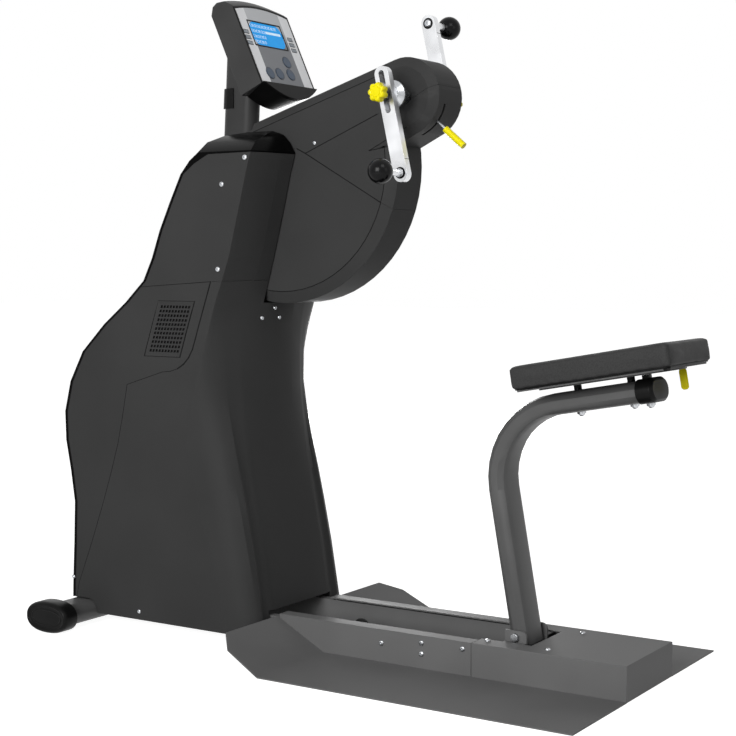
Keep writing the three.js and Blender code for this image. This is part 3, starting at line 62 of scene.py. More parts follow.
mm = 0.001
platformEnd = 702.953      # mm from the model's middle to the free end of the platform
crankLean = 12.76          # degrees that the right crank arm leans; the left one stands opposite
left, right = -1, 1        # sides along Y
sides = ((left, "left"), (right, "right"))
nearby = {"weld": 2e-6, "sliver": 1e-7, "nodeWeld": 1e-5}    # metres below which points or edges are one
tiny = 1e-9                # keeps a division off zero


# Camera: the photograph's own place and lens
cameraPlace = {
    "location": (1932.45, -2992.0, 898.4),   # mm
    "yaw": 32.779,
    "pitch": -4.185,
    "lens": 76.30,
    "shift": (0.0005, 0.0027),
}


def makeCamera(place):
    # yaw turns it about Z, and pitch tips it from level
    data = bpy.data.cameras.new("photoCamera")
    data.sensor_width = 36
    data.lens = place["lens"]
    data.shift_x, data.shift_y = place["shift"]
    data.clip_end = 60
    camera = bpy.data.objects.new("photoCamera", data)
    camera.location = [c * mm for c in place["location"]]
    camera.rotation_euler = (math.radians(90 + place["pitch"]), 0, math.radians(place["yaw"]))
    bpy.context.scene.collection.objects.link(camera)
    bpy.context.scene.camera = camera


makeCamera(cameraPlace)
print("stage: camera placed")


# Colours and nodes

def linear(hexColour):
    # sRGB to linear: a twelfth of the value near black, else the shifted value to the power 2.4
    c = np.array([int(hexColour[i:i + 2], 16) / 255 for i in (1, 3, 5)])
    c = np.where(c <= 0.04045, c / 12.92, ((c + 0.055) / 1.055) ** 2.4)
    return (*c.tolist(), 1.0)


def setNode(tree, node, settings=None, links=None):
    # settings are the node's own attributes or socket values, links go from (node, output) to an input
    for key, value in (settings or {}).items():
        if isinstance(key, str) and hasattr(node, key):
            setattr(node, key, value)
        else:
            node.inputs[key].default_value = value
    for key, (source, output) in (links or {}).items():
        tree.links.new(source.outputs[output], node.inputs[key])
    return node


def addNode(tree, kind, settings=None, links=None):
    # a new node of the kind with its settings and links
    return setNode(tree, tree.nodes.new(kind), settings, links)


def newMaterial(name, swatch):
    # a tree with only a shader and its output; the swatch is the colour in the plain viewport
    material = bpy.data.materials.new(name)
    material.use_nodes = True
    material.diffuse_color = linear(swatch)
    tree = material.node_tree
    tree.nodes.clear()
    shader = addNode(tree, "ShaderNodeBsdfPrincipled")
    addNode(tree, "ShaderNodeOutputMaterial", links={"Surface": (shader, "BSDF")})
    return material, tree, shader


# Finishes. Each colour is a pair, and wide slow clouds shift between them. Grain sizes are in mm;
# a grain under 2 mm is drawn at about 2 mm, as the smallest that shows at this distance.
finishes = {
    # polyester powder coat on folded sheet steel: an even satin with faint orange peel
    "anthracitePowderCoat": {"colours": ("#626262", "#6a6a6a"), "grain": 2.4, "depth": 0.05, "bump": 0.3,
                             "cloud": 190, "roughness": (0.46, 0.56), "fixed": {"Specular IOR Level": 0.1}},
    # the same coat on drawn tube, a shade darker and glossier
    "greyPowderCoat": {"colours": ("#4c4c4c", "#555555"), "grain": 2.2, "depth": 0.04, "bump": 0.25,
                       "cloud": 150, "roughness": (0.36, 0.45), "fixed": {"Specular IOR Level": 0.25}},
    # injection-moulded ABS with a spark-eroded face: fine grain and a soft sheen
    "sparkErodedAbs": {"colours": ("#333333", "#393939"), "grain": 2.0, "depth": 0.05, "bump": 0.35,
                       "cloud": 260, "roughness": (0.46, 0.56), "fixed": {"Specular IOR Level": 0.06}},
    # polished ABS: deep gloss with the slow waviness of a large moulding
    "polishedAbs": {"colours": ("#050505", "#080808"), "grain": 70, "depth": 0.3, "bump": 0.14,
                    "cloud": 300, "roughness": (0.18, 0.28), "fixed": {"Specular IOR Level": 0.03}},
    # the console's grey ABS: a shallower grain than the tower's and a little more sheen. On the mast, this
    # darker grey is painted shade
    "greyAbs": {"colours": ("#353535", "#3b3b3b"), "grain": 2.0, "depth": 0.04, "bump": 0.25,
                "cloud": 110, "roughness": (0.42, 0.5), "fixed": {"Specular IOR Level": 0.12}},
    # glass-filled nylon: satin black, slightly cloudy
    "blackNylon": {"colours": ("#0e0e0e", "#141414"), "grain": 2.0, "depth": 0.03, "bump": 0.2,
                   "cloud": 60, "roughness": (0.32, 0.42), "fixed": {"Specular IOR Level": 0.08}},
    # phenolic resin: hard black gloss with faint moulding swirl
    "blackPhenolic": {"colours": ("#080809", "#0d0d0e"), "grain": 9, "depth": 0.03, "bump": 0.12,
                      "cloud": 40, "roughness": (0.14, 0.22), "fixed": {"Specular IOR Level": 0.12}},
    # rubber: flat black with a chalky bloom
    "blackRubber": {"colours": ("#0d0d0d", "#151515"), "grain": 2.0, "depth": 0.05, "bump": 0.4,
                    "cloud": 30, "roughness": (0.66, 0.8), "fixed": {"Specular IOR Level": 0.2}},
    # aluminium bar, milled and polished: a bright mirror with fine draw lines along it
    "polishedAluminium": {"colours": ("#d2d3d5", "#dfe0e2"), "grain": 2.0, "depth": 0.02, "bump": 0.12,
                          "cloud": 60, "roughness": (0.24, 0.34), "fixed": {"Metallic": 1.0},
                          "stretch": (1, 1, 16), "turn": crankLean},
    # zinc-plated turned steel: a little greyer and softer, with rings left by the lathe
    "platedSteel": {"colours": ("#a4a6a9", "#c3c5c8"), "grain": 2.0, "depth": 0.02, "bump": 0.16,
                    "cloud": 25, "roughness": (0.2, 0.32), "fixed": {"Metallic": 1.0}, "stretch": (4, 1, 4)},
    # yellow polyamide: smooth, slightly waxy, a touch of depth
    "yellowPolyamide": {"colours": ("#e0d200", "#e8dc00"), "grain": 2.2, "depth": 0.02, "bump": 0.08,
                        "cloud": 24, "roughness": (0.3, 0.4), "fixed": {"Specular IOR Level": 0.2}},
    # silicone keys: soft matt with a fine tooth
    "blueSilicone": {"colours": ("#26374a", "#33485f"), "grain": 2.0, "depth": 0.02, "bump": 0.2,
                     "cloud": 14, "roughness": (0.34, 0.46), "fixed": {}},
    "darkBlueSilicone": {"colours": ("#16212f", "#1d2a3b"), "grain": 2.0, "depth": 0.02, "bump": 0.2,
                         "cloud": 14, "roughness": (0.34, 0.46), "fixed": {}},
    "silverSilicone": {"colours": ("#7f858c", "#939aa1"), "grain": 2.0, "depth": 0.02, "bump": 0.2,
                       "cloud": 14, "roughness": (0.36, 0.48), "fixed": {}},
}
# How the noise behind the finishes is read: nearly all its values lie in the span, and detail is in octaves
noise = {"span": {"From Min": 0.3, "From Max": 0.7}, "grainDetail": 3.0, "cloudDetail": 2.0}


def makeFinish(name, look):
    # fine noise lifts the surface, wide noise shifts the colour and the roughness
    material, tree, shader = newMaterial(name, look["colours"][1])
    coords = addNode(tree, "ShaderNodeTexCoord")
    drawn = addNode(tree, "ShaderNodeMapping",
                    {"vector_type": "TEXTURE", "Rotation": (0, -math.radians(look.get("turn", 0)), 0),
                     "Scale": look.get("stretch", (1, 1, 1))}, {"Vector": (coords, "Object")})
    grain = addNode(tree, "ShaderNodeTexNoise",
                    {"Scale": 1 / (look["grain"] * mm), "Detail": noise["grainDetail"]},
                    {"Vector": (drawn, "Vector")})
    bump = addNode(tree, "ShaderNodeBump", {"Strength": look["bump"], "Distance": look["depth"] * mm},
                   {"Height": (grain, "Fac")})
    cloud = addNode(tree, "ShaderNodeTexNoise",
                    {"Scale": 1 / (look["cloud"] * mm), "Detail": noise["cloudDetail"]},
                    {"Vector": (coords, "Object")})
    shift = addNode(tree, "ShaderNodeMapRange", noise["span"], {"Value": (cloud, "Fac")})
    first, second = look["colours"]
    colour = addNode(tree, "ShaderNodeMix", {"data_type": "RGBA", 6: linear(first), 7: linear(second)},
                     {0: (shift, "Result")})
    low, high = look["roughness"]
    rough = addNode(tree, "ShaderNodeMapRange", {**noise["span"], "To Min": low, "To Max": high},
                    {"Value": (cloud, "Fac")})
    setNode(tree, shader, look["fixed"],
            {"Normal": (bump, "Normal"), "Base Color": (colour, 2), "Roughness": (rough, "Result")})
    return material


# Upholstery vinyl: PVC on a knitted back, embossed with rounded cells. The real cells are near 1.2 mm and
# are drawn at 2.6 mm. Painted shade darkens the colour into the hollows between the cells. It gives the eye a
# dark satin with soft, broken highlights.
vinyl = {"valley": "#2d2d2d", "cell": "#3b3b3b", "cellSize": 2.6, "depth": 0.3, "bump": 0.4, "cloud": 70,
         "roughness": (0.44, 0.6), "specular": 0.1}


def makeVinyl(look):
    # the way to the nearest cell's middle, turned over, is the height, and painted shade in the hollows
    # follows it
    material, tree, shader = newMaterial("embossedVinyl", look["cell"])
    coords = addNode(tree, "ShaderNodeTexCoord")
    cells = addNode(tree, "ShaderNodeTexVoronoi",
                    {"feature": "SMOOTH_F1", "Scale": 1 / (look["cellSize"] * mm)},
                    {"Vector": (coords, "Object")})
    bump = addNode(tree, "ShaderNodeBump",
                   {"Strength": look["bump"], "Distance": look["depth"] * mm, "invert": True},
                   {"Height": (cells, "Distance")})
    # painted shade: the colour goes from the cell's own to the darker one in the hollows
    colour = addNode(tree, "ShaderNodeMix",
                     {"data_type": "RGBA", 6: linear(look["cell"]), 7: linear(look["valley"])},
                     {0: (cells, "Distance")})
    cloud = addNode(tree, "ShaderNodeTexNoise", {"Scale": 1 / (look["cloud"] * mm)},
                    {"Vector": (coords, "Object")})
    low, high = look["roughness"]
    rough = addNode(tree, "ShaderNodeMapRange", {**noise["span"], "To Min": low, "To Max": high},
                    {"Value": (cloud, "Fac")})
    setNode(tree, shader, {"Specular IOR Level": look["specular"]},
            {"Normal": (bump, "Normal"), "Base Color": (colour, 2), "Roughness": (rough, "Result")})
    return material


# Polyester film printed from behind: two white side bands, and between them silver at the top that darkens
# to mid grey round the keys. It gives the eye crisp edges under one even satin. Lengths are in mm on the
# face.
film = {"white": "#f4f5f7", "silver": "#cbcdd0", "grey": "#85878b", "bandFrom": 66, "edge": 0.4,
        "fadeFrom": 165, "fadeTo": 95, "grain": 2.0, "depth": 0.01, "bump": 0.12, "roughness": 0.4,
        "specular": 0.2}


def makeFilm(look):
    # white where the way out from the middle line passes the band's edge, else the slow fade up the face
    material, tree, shader = newMaterial("printedFilm", look["silver"])
    coords = addNode(tree, "ShaderNodeTexCoord")
    faced = addNode(tree, "ShaderNodeMapping",
                    {"vector_type": "TEXTURE", "Location": tuple(consoleFrame["origin"] * mm),
                     "Rotation": (0, -math.radians(consoleFrame["lean"]), 0)},
                    {"Vector": (coords, "Object")})
    split = addNode(tree, "ShaderNodeSeparateXYZ", links={"Vector": (faced, "Vector")})
    across = addNode(tree, "ShaderNodeMath", {"operation": "ABSOLUTE"}, {0: (split, "Y")})
    band = addNode(tree, "ShaderNodeMapRange",
                   {"From Min": look["bandFrom"] * mm, "From Max": (look["bandFrom"] + look["edge"]) * mm},
                   {"Value": (across, "Value")})
    fade = addNode(tree, "ShaderNodeMapRange",
                   {"interpolation_type": "SMOOTHSTEP", "From Min": look["fadeTo"] * mm,
                    "From Max": look["fadeFrom"] * mm}, {"Value": (split, "Z")})
    middle = addNode(tree, "ShaderNodeMix",
                     {"data_type": "RGBA", 6: linear(look["grey"]), 7: linear(look["silver"])},
                     {0: (fade, "Result")})
    colour = addNode(tree, "ShaderNodeMix", {"data_type": "RGBA", 7: linear(look["white"])},
                     {0: (band, "Result"), 6: (middle, 2)})
    grain = addNode(tree, "ShaderNodeTexNoise", {"Scale": 1 / (look["grain"] * mm)},
                    {"Vector": (coords, "Object")})
    bump = addNode(tree, "ShaderNodeBump", {"Strength": look["bump"], "Distance": look["depth"] * mm},
                   {"Height": (grain, "Fac")})
    setNode(tree, shader, {"Roughness": look["roughness"], "Specular IOR Level": look["specular"]},
            {"Base Color": (colour, 2), "Normal": (bump, "Normal")})
    return material


glows = {
    # backlit liquid crystal behind a hard clear cover: an even blue glow with slightly brighter patches
    "backlitDisplay": {"deep": "#0a7fc8", "bright": "#1696dc", "cloud": 60, "strength": 0.55,
                       "roughness": 0.2, "specular": 0.12},
    # the display's segments: pale, nearly white, seen through the same cover
    "litSegments": {"deep": "#b8dcf6", "bright": "#dff2ff", "cloud": 6, "strength": 0.35,
                    "roughness": 0.15, "specular": 0.5},
}


def makeGlow(name, look):
    # wide noise shifts between two colours, and the surface shines in the colour that it has
    material, tree, shader = newMaterial(name, look["bright"])
    coords = addNode(tree, "ShaderNodeTexCoord")
    cloud = addNode(tree, "ShaderNodeTexNoise", {"Scale": 1 / (look["cloud"] * mm)},
                    {"Vector": (coords, "Object")})
    colour = addNode(tree, "ShaderNodeMix",
                     {"data_type": "RGBA", 6: linear(look["deep"]), 7: linear(look["bright"])},
                     {0: (cloud, "Fac")})
    setNode(tree, shader, {"Emission Strength": look["strength"], "Roughness": look["roughness"],
                           "Specular IOR Level": look["specular"]},
            {"Base Color": (colour, 2), "Emission Color": (colour, 2)})
    return material


# Places that pieces are built in: an origin in mm in the row frame and three axes

def leaningFrame(origin, degrees):
    # x leans up by the angle, z stands square to it, y is the row's own
    cosine, sine = math.cos(math.radians(degrees)), math.sin(math.radians(degrees))
    return {"origin": np.array(origin), "lean": degrees,
            "axes": np.array([[cosine, 0, sine], [0, 1, 0], [-sine, 0, cosine]])}


seatFrame = leaningFrame([platformEnd - 372.7, 0, 556.793], 10.33)
consoleFrame = leaningFrame([platformEnd - 914.96, 0, 1292.5], 24.5)
crankShaft = [platformEnd - 566.95, 0, 1245.475]
crankFrames = {left: leaningFrame(crankShaft, crankLean + 180), right: leaningFrame(crankShaft, crankLean)}


def placed(surface, place):
    # each point is the origin plus its coordinates along the three axes
    points, faces = surface
    return place["origin"] + points @ place["axes"], faces


# Surfaces

def ringFaces(rings, steps):
    # quads between neighbouring rings, closed round each ring
    row = np.arange(rings - 1)[:, None] * steps
    here = np.arange(steps)[None, :]
    there = (here + 1) % steps
    return np.stack([row + here, row + there, row + steps + there, row + steps + here], -1).reshape(-1, 4)


def ringSurface(rings):
    # rings is an array of rings of points, and the first and last ring may each shrink to one point
    rings = np.asarray(rings, float)
    return rings.reshape(-1, 3), ringFaces(rings.shape[0], rings.shape[1])


def joined(surfaces):
    # several surfaces in one mesh: the points follow each other and each list of faces counts on
    starts = np.cumsum([0] + [len(points) for points, faces in surfaces[:-1]])
    return (np.concatenate([points for points, faces in surfaces]),
            np.concatenate([faces + start for (points, faces), start in zip(surfaces, starts)]))


def turned(profile, steps=48):
    # a lathe about x: the profile lists (radius, x) pairs, and each becomes a circle
    profile = np.asarray(profile, float)
    turn = np.linspace(0, 2 * np.pi, steps, endpoint=False)
    rings = np.empty((len(profile), steps, 3))
    rings[..., 0] = profile[:, 1, None]
    rings[..., 1] = profile[:, 0, None] * np.cos(turn)
    rings[..., 2] = profile[:, 0, None] * np.sin(turn)
    return ringSurface(rings)


def aimed(surface, origin, axis):
    # turns a lathe's x axis to the given direction and moves it to the origin
    points, faces = surface
    forward = np.array(axis, float) / np.linalg.norm(axis)
    side = np.cross(forward, [0, 0, 1]) if abs(forward[2]) < 0.9 else np.cross(forward, [1, 0, 0])
    side /= np.linalg.norm(side)
    up = np.cross(forward, side)
    return np.array(origin, float) + points @ np.array([forward, side, up]), faces


def roundedOutline(length, width, radius, steps=7):
    # a rectangle with round corners: each corner's centre plus a quarter circle
    quarter = np.linspace(0, np.pi / 2, steps)
    corners = [(1, 1), (-1, 1), (-1, -1), (1, -1)]
    parts = []
    for i, (sx, sy) in enumerate(corners):
        turn = quarter + i * np.pi / 2
        centre = np.array([sx * (length / 2 - radius), sy * (width / 2 - radius)])
        parts.append(centre + radius * np.stack([np.cos(turn), np.sin(turn)], -1))
    return np.concatenate(parts)


def ringAt(x, radius, turn):
    # a ring round the x axis: the radius, one for all or one for each angle, times the cosine and the sine
    return np.stack([x + 0 * turn, radius * np.cos(turn), radius * np.sin(turn)], -1)


def hexagonRadius(flat, turn):
    # half the width across the flats over the cosine of the angle from the nearest flat's middle
    return flat / np.cos(np.mod(turn, np.pi / 3) - np.pi / 6)


def drawnIn(outline, length, width, pull):
    # between corners each side moves in by the pull times one minus the squared share of the way to them
    along = outline / [length / 2, width / 2]
    return outline - pull * along * (1 - along[:, ::-1] ** 2)


def stacked(rows, middle, length, width, corner, steps=7, pull=0):
    # rounded rectangles one above the other, each row its inset and height, with both ends drawn to a point
    rings = []
    for inset, z in rows:
        size = length - 2 * inset, width - 2 * inset
        outline = drawnIn(roundedOutline(*size, corner, steps), *size, pull)
        rings.append(np.column_stack([middle + outline, np.full(len(outline), z)]))
    foot, top = (np.tile([*middle, z], (4 * steps, 1)) for z in (rows[0][1], rows[-1][1]))
    return ringSurface([foot, *rings, top])


def meshPoints(mesh):
    # a mesh's points in metres, one row each
    points = np.empty(len(mesh.vertices) * 3)
    mesh.vertices.foreach_get("co", points)
    return points.reshape(-1, 3)


materials = {name: makeFinish(name, look) for name, look in finishes.items()}
materials["embossedVinyl"] = makeVinyl(vinyl)
materials["printedFilm"] = makeFilm(film)
materials.update({name: makeGlow(name, look) for name, look in glows.items()})
print("stage: made", len(materials), "finishes")


def finishMesh(name, surface, finish, body, sharp=35):
    # goes from mm to metres, closes seams and open rims, turns the faces outwards and marks sharp edges
    points, faces = surface
    mesh = bpy.data.meshes.new(name)
    mesh.from_pydata((points * mm).tolist(), [], faces.tolist())
    work = bmesh.new()
    work.from_mesh(mesh)
    bmesh.ops.remove_doubles(work, verts=work.verts, dist=nearby["weld"])
    bmesh.ops.dissolve_degenerate(work, edges=work.edges, dist=nearby["sliver"])
    bmesh.ops.holes_fill(work, edges=work.edges, sides=0)
    bmesh.ops.recalc_face_normals(work, faces=work.faces)
    work.to_mesh(mesh)
    work.free()
    mesh.shade_smooth()
    mesh.set_sharp_from_angle(angle=math.radians(sharp))
    mesh.materials.append(materials[finish])
    piece = bpy.data.objects.new(name, mesh)
    bpy.context.scene.collection.objects.link(piece)
    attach(piece, body)
    return piece


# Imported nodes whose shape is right: a welded copy with softened edges stands for each, or the node itself
# takes the finish. Each number is the soft edge's width in mm, and 0 only smooths the round faces.
nodeLooks = {
    "anthracitePowderCoat": {"platform_left": 0.8, "platform_right": 0.8, "deck_box": 1.2,
                             "chassis_frame": 0, "post_bracket": 0.8, "seat_pan": 0.5},
    "greyPowderCoat": {"rear_foot_tube": 0, "seat_post": 0},
    "sparkErodedAbs": {"lower_housing": 0.7, "upper_housing_left": 0.7, "upper_housing_right": 0.7,
                       "side_panel_left": 0.7, "side_panel_right": 0.7, "boom_upper_shell": 0.8,
                       "boom_lower_shell": 0.8, "sector_shell": 0.8},
    "polishedAbs": {"rear_cover": 0.8},
    # the mast takes this darker grey as painted shade, for the shadow it stands in behind the console
    "greyAbs": {"console_housing": 1.6, "mast": 0},
    "blackNylon": {"post_end_cap": 1.5, "mast_clip": 0.8, "console_base": 1.0},
    "polishedAluminium": {"crank_arm_left": 1.4, "crank_arm_right": 1.4},
    "platedSteel": {"hinge_bolt": 0.8, "crank_shaft": 0.8, "pivot_shaft": 0.5, "release_lever": 0.3,
                    "post_rest": 0.5},
    "blackRubber": {"post_rest_buffer": 0},
    "yellowPolyamide": {"seat_lever": 1.2, "lever_grip": 1.2},
    "blueSilicone": {f"round_key_{i}": 0.5 for i in (1, 2, 3, 4)},
    "silverSilicone": {f"small_key_{name}_{i}": 0.5 for side, name in sides for i in (1, 2, 3)},
}
nodeFinishes = {
    "anthracitePowderCoat": ["fork_left", "fork_right", "boom_frame"],
    "platedSteel": ["flywheel"],
    "blackRubber": ["drive_belt"],
    "printedFilm": ["console_face"],
    "backlitDisplay": ["console_window"],
}
# Angles in degrees: faces nearer to level are joined, and edges above the sharp one get a soft edge and stay
# sharp in the shading. Shells with low chamfers keep edges from the crisp angle up.
softening = {"level": 0.5, "sharp": 30, "crisp": 11, "segments": 2,
             "crispNodes": ("upper_housing_left", "upper_housing_right", "sector_shell", "boom_upper_shell")}


def softened(node, finish, bevel):
    # welds the node's loose triangles, joins level ones, and rounds the sharp edges
    source = nodes[node]
    mesh = source.data.copy()
    work = bmesh.new()
    work.from_mesh(mesh)
    bmesh.ops.remove_doubles(work, verts=work.verts, dist=nearby["nodeWeld"])
    bmesh.ops.dissolve_limit(work, angle_limit=math.radians(softening["level"]), verts=work.verts,
                             edges=work.edges)
    work.to_mesh(mesh)
    work.free()
    mesh.materials.clear()
    mesh.materials.append(materials[finish])
    mesh.shade_smooth()
    shading = softening["crisp" if node in softening["crispNodes"] else "sharp"]
    mesh.set_sharp_from_angle(angle=math.radians(shading))
    piece = bpy.data.objects.new(f"{node}_finished", mesh)
    bpy.context.scene.collection.objects.link(piece)
    if bevel:
        edge = piece.modifiers.new("softEdges", "BEVEL")
        edge.width = bevel * mm
        edge.segments = softening["segments"]
        edge.limit_method = "ANGLE"
        edge.angle_limit = math.radians(softening["sharp"])
    level = piece.modifiers.new("flatFaces", "WEIGHTED_NORMAL")   # wide faces keep their own direction
    level.keep_sharp = True
    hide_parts(node)
    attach(piece, source["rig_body"])
    return piece


for finish, edges in nodeLooks.items():
    for node, bevel in edges.items():
        softened(node, finish, bevel)
for finish, names in nodeFinishes.items():
    for name in names:
        nodes[name].data.materials.clear()
        nodes[name].data.materials.append(materials[finish])


# Shadow gaps: where two moulded shells meet, the gap shows as a dark line. A thin strip of painted shadow, in
# a black finish, lies along the rim of each shell's flat side. Rows are node, body, strip width and the least
# x in mm that it runs from. The flat side is the faces within flatDepth of the outermost point whose direction
# has more than flat along Y.
shadowGaps = {"lift": 0.12, "liftStep": 0.01, "hubClear": 80, "flat": 0.985, "flatDepth": 4,
              "rows": (("side_panel_{}", "base", 1.5, -2000), ("side_panel_{}", "base", 3.4, -1098),
                       ("boom_upper_shell", "boom", 1.7, -1010), ("boom_lower_shell", "boom", 1.7, -840),
                       ("sector_shell", "boom", 1.8, -1010))}


def rimEdges(node, side, look):
    # edges between the shell's outermost flat side and anything else: the flat side faces along Y
    work = bmesh.new()
    work.from_mesh(nodes[node].data)
    bmesh.ops.remove_doubles(work, verts=work.verts, dist=nearby["nodeWeld"])
    outermost = max(side * vertex.co.y for vertex in work.verts)
    flat = {face for face in work.faces if side * face.normal.y > look["flat"]
            and side * face.calc_center_median().y > outermost - look["flatDepth"] * mm}
    edges = [edge for edge in work.edges if sum(face in flat for face in edge.link_faces) == 1]
    ends = np.array([[vertex.co[:] for vertex in edge.verts] for edge in edges]) / mm
    work.free()
    return ends


def stripSurface(ends, width, lift, side):
    # each edge becomes a thin closed bar: half the width to both sides, a quarter of it past both ends, and
    # as deep in the shell as it is wide
    run = ends[:, 1] - ends[:, 0]
    run /= np.maximum(np.linalg.norm(run, axis=1, keepdims=True), tiny)
    across = np.cross(run, [0, 1, 0]) * width / 2
    along = run * width / 4
    a, b = ends[:, 0] - along, ends[:, 1] + along
    corners = np.stack([a - across, b - across, b + across, a + across], 1)
    points = np.concatenate([corners - [0, side * width, 0], corners + [0, side * lift, 0]], 1)
    bar = np.array([[3, 2, 1, 0], [4, 5, 6, 7], [0, 1, 5, 4], [1, 2, 6, 5], [2, 3, 7, 6], [3, 0, 4, 7]])
    quads = bar + 8 * np.arange(len(ends))[:, None, None]
    return points.reshape(-1, 3), quads.reshape(-1, 4)


def makeShadowGaps(look):
    # one piece for each body, without the edges round the crank's hub; each row lies a hair above the last
    for body in ("base", "boom"):
        strips = []
        for side, name in sides:
            for row, (node, rides, width, start) in enumerate(look["rows"]):
                if rides == body:
                    ends = rimEdges(node.format(name), side, look)
                    middles = ends.mean(axis=1) - crankShaft
                    away = np.hypot(middles[:, 0], middles[:, 2]) > look["hubClear"]
                    ends = ends[away & (ends[:, :, 0].min(axis=1) > start + platformEnd)]
                    strips.append(stripSurface(ends, width, look["lift"] + look["liftStep"] * row, side))
        # the strips are painted shadow, drawn in the black nylon finish
        finishMesh(f"shadow_gaps_{body}", joined(strips), "blackNylon", body)


makeShadowGaps(shadowGaps)
print("stage: finished", len(nodes), "packed nodes")


# Seat cushion: a firm foam slab under stretched vinyl. Lengths in mm, in the seat's frame. It starts smaller
# by the start, and the stuffing may swell it by the swell. lowEdge flattens the lower edge's round.
cushion = {"from": 110, "length": 361, "width": 235.4, "bottom": 42.4, "top": 90.3, "corner": 9, "edge": 6,
           "lowEdge": 0.35, "edgeRings": 6, "start": 0.7, "pull": 1.2, "swell": 2.4, "voxel": 5,
           "pressure": 3, "frames": 20, "sharp": 180}
cushionMiddle = np.array([cushion["from"] + cushion["length"] / 2, 0])


def cushionSurface(look, shrink):
    # rounded rectangles up the height; each is drawn in near the bottom and top by a quarter circle
    turn = np.linspace(0, np.pi / 2, look["edgeRings"])
    edge, foot = look["edge"], look["bottom"] + shrink
    low = [(edge * (1 - np.sin(a)) + shrink, foot + edge * look["lowEdge"] * (1 - np.cos(a))) for a in turn]
    high = [(edge * (1 - np.cos(a)) + shrink, look["top"] - shrink - edge * (1 - np.sin(a))) for a in turn]
    return stacked(low + high, cushionMiddle, look["length"], look["width"], look["corner"],
                   pull=look["pull"])


def stuff(piece, look):
    # an even remesh and a short inflated cloth run: gives the points before and after it
    bpy.context.view_layer.objects.active = piece
    remesh = piece.modifiers.new("evenMesh", "REMESH")
    remesh.mode = "VOXEL"
    remesh.voxel_size = look["voxel"] * mm
    bpy.ops.object.modifier_apply(modifier="evenMesh")
    rest = meshPoints(piece.data)
    cloth = piece.modifiers.new("stuffing", "CLOTH")
    cloth.settings.use_pressure = True
    cloth.settings.uniform_pressure_force = look["pressure"]
    cloth.settings.effector_weights.gravity = 0
    cloth.point_cache.frame_end = look["frames"]
    scene = bpy.context.scene
    for i in range(1, look["frames"] + 1):
        scene.frame_set(i)
    blown = meshPoints(piece.evaluated_get(bpy.context.evaluated_depsgraph_get()).data)
    piece.modifiers.remove(cloth)
    scene.frame_set(1)
    return rest, blown


def makeCushion(look):
    # each point moves as the stuffing blew it, by no more than the swell
    start = placed(cushionSurface(look, look["start"]), seatFrame)
    piece = finishMesh("seat_cushion_stuffed", start, "embossedVinyl", "seat", look["sharp"])
    rest, blown = stuff(piece, look)
    move = blown - rest
    reach = np.linalg.norm(move, axis=1, keepdims=True)
    move *= np.minimum(1, look["swell"] * mm / np.maximum(reach, tiny))
    local = ((rest + move) / mm - seatFrame["origin"]) @ seatFrame["axes"].T
    local[:, 2] = np.maximum(local[:, 2], look["bottom"])    # the foam stays flat on its board
    shaped, faces = placed((local, None), seatFrame)
    piece.data.vertices.foreach_set("co", (shaped * mm).ravel())
    piece.data.update()
    piece.data.shade_smooth()
    soften = piece.modifiers.new("smoothFaces", "SUBSURF")
    soften.levels = soften.render_levels = 1
    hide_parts("seat_cushion")


makeCushion(cushion)
print("stage: cushion stuffed")


# Seat board and the fittings under the seat, in mm in the seat's frame
seatParts = {"boardInset": 7, "boardBottom": 40.6, "boardTop": 43.2, "boardCorner": 10, "chamfer": 0.6,
             "spacerRadius": 8.4, "spacers": (210.5, 332.5), "spacerFrom": 21.5, "spacerTo": 33.4,
             "nutRadius": 9.2, "nutHeight": 10.5, "nuts": (210.5, 332.5, 368.0), "nutsFrom": 120,
             "plateFoot": 33.4, "plateEdge": 0.5,
             "stopFrom": 361.5, "stopTo": 374.5, "stopHalf": 12, "stopFoot": 24.0, "stopTop": 33.2,
             "tabAt": 458, "tabLength": 13, "tabHalf": 7, "tabY": -105, "tabFoot": 34.6, "tabTop": 40.4}


def blockSurface(low, high, edge=0.8, rounding=0.4):
    # a box with small chamfers: rounded rectangles drawn in at both ends
    low, high = np.array(low, float), np.array(high, float)
    size = high - low
    rows = [(edge, low[2]), (0, low[2] + edge), (0, high[2] - edge), (edge, high[2])]
    return stacked(rows, (low + high)[:2] / 2, size[0], size[1], edge + rounding, 3)


def makeSeatBoard(look):
    # a chamfered board inside the cushion's outline, and a small tab under it near the seat lever
    inset, bottom, chamfer = look["boardInset"], look["boardBottom"], look["chamfer"]
    rows = [(inset + chamfer, bottom), (inset, bottom + chamfer), (inset, look["boardTop"])]
    board = stacked(rows, cushionMiddle, cushion["length"], cushion["width"], look["boardCorner"])
    finishMesh("seat_board", placed(board, seatFrame), "blackNylon", "seat")
    x, y, reach = look["tabAt"], look["tabY"], look["tabLength"] / 2
    tab = blockSurface([x - reach, y - look["tabHalf"], look["tabFoot"]],
                       [x + reach, y + look["tabHalf"], look["tabTop"]])
    finishMesh("seat_tab", placed(tab, seatFrame), "blackNylon", "seat")


def makeSpacers(look):
    # round spacers with chamfered ends, upright at each place, and a stop block beyond them
    radius, foot, top, chamfer = look["spacerRadius"], look["spacerFrom"], look["spacerTo"], look["chamfer"]
    profile = [(0, foot), (radius - chamfer, foot), (radius, foot + chamfer), (radius, top - chamfer),
               (radius - chamfer, top), (0, top)]
    points, faces = turned(profile, 32)
    blocks = [(points[:, [1, 2, 0]] + [x, 0, 0], faces) for x in look["spacers"]]
    blocks.append(blockSurface([look["stopFrom"], -look["stopHalf"], look["stopFoot"]],
                               [look["stopTo"], look["stopHalf"], look["stopTop"]]))
    finishMesh("seat_spacers", placed(joined(blocks), seatFrame), "blackNylon", "post")


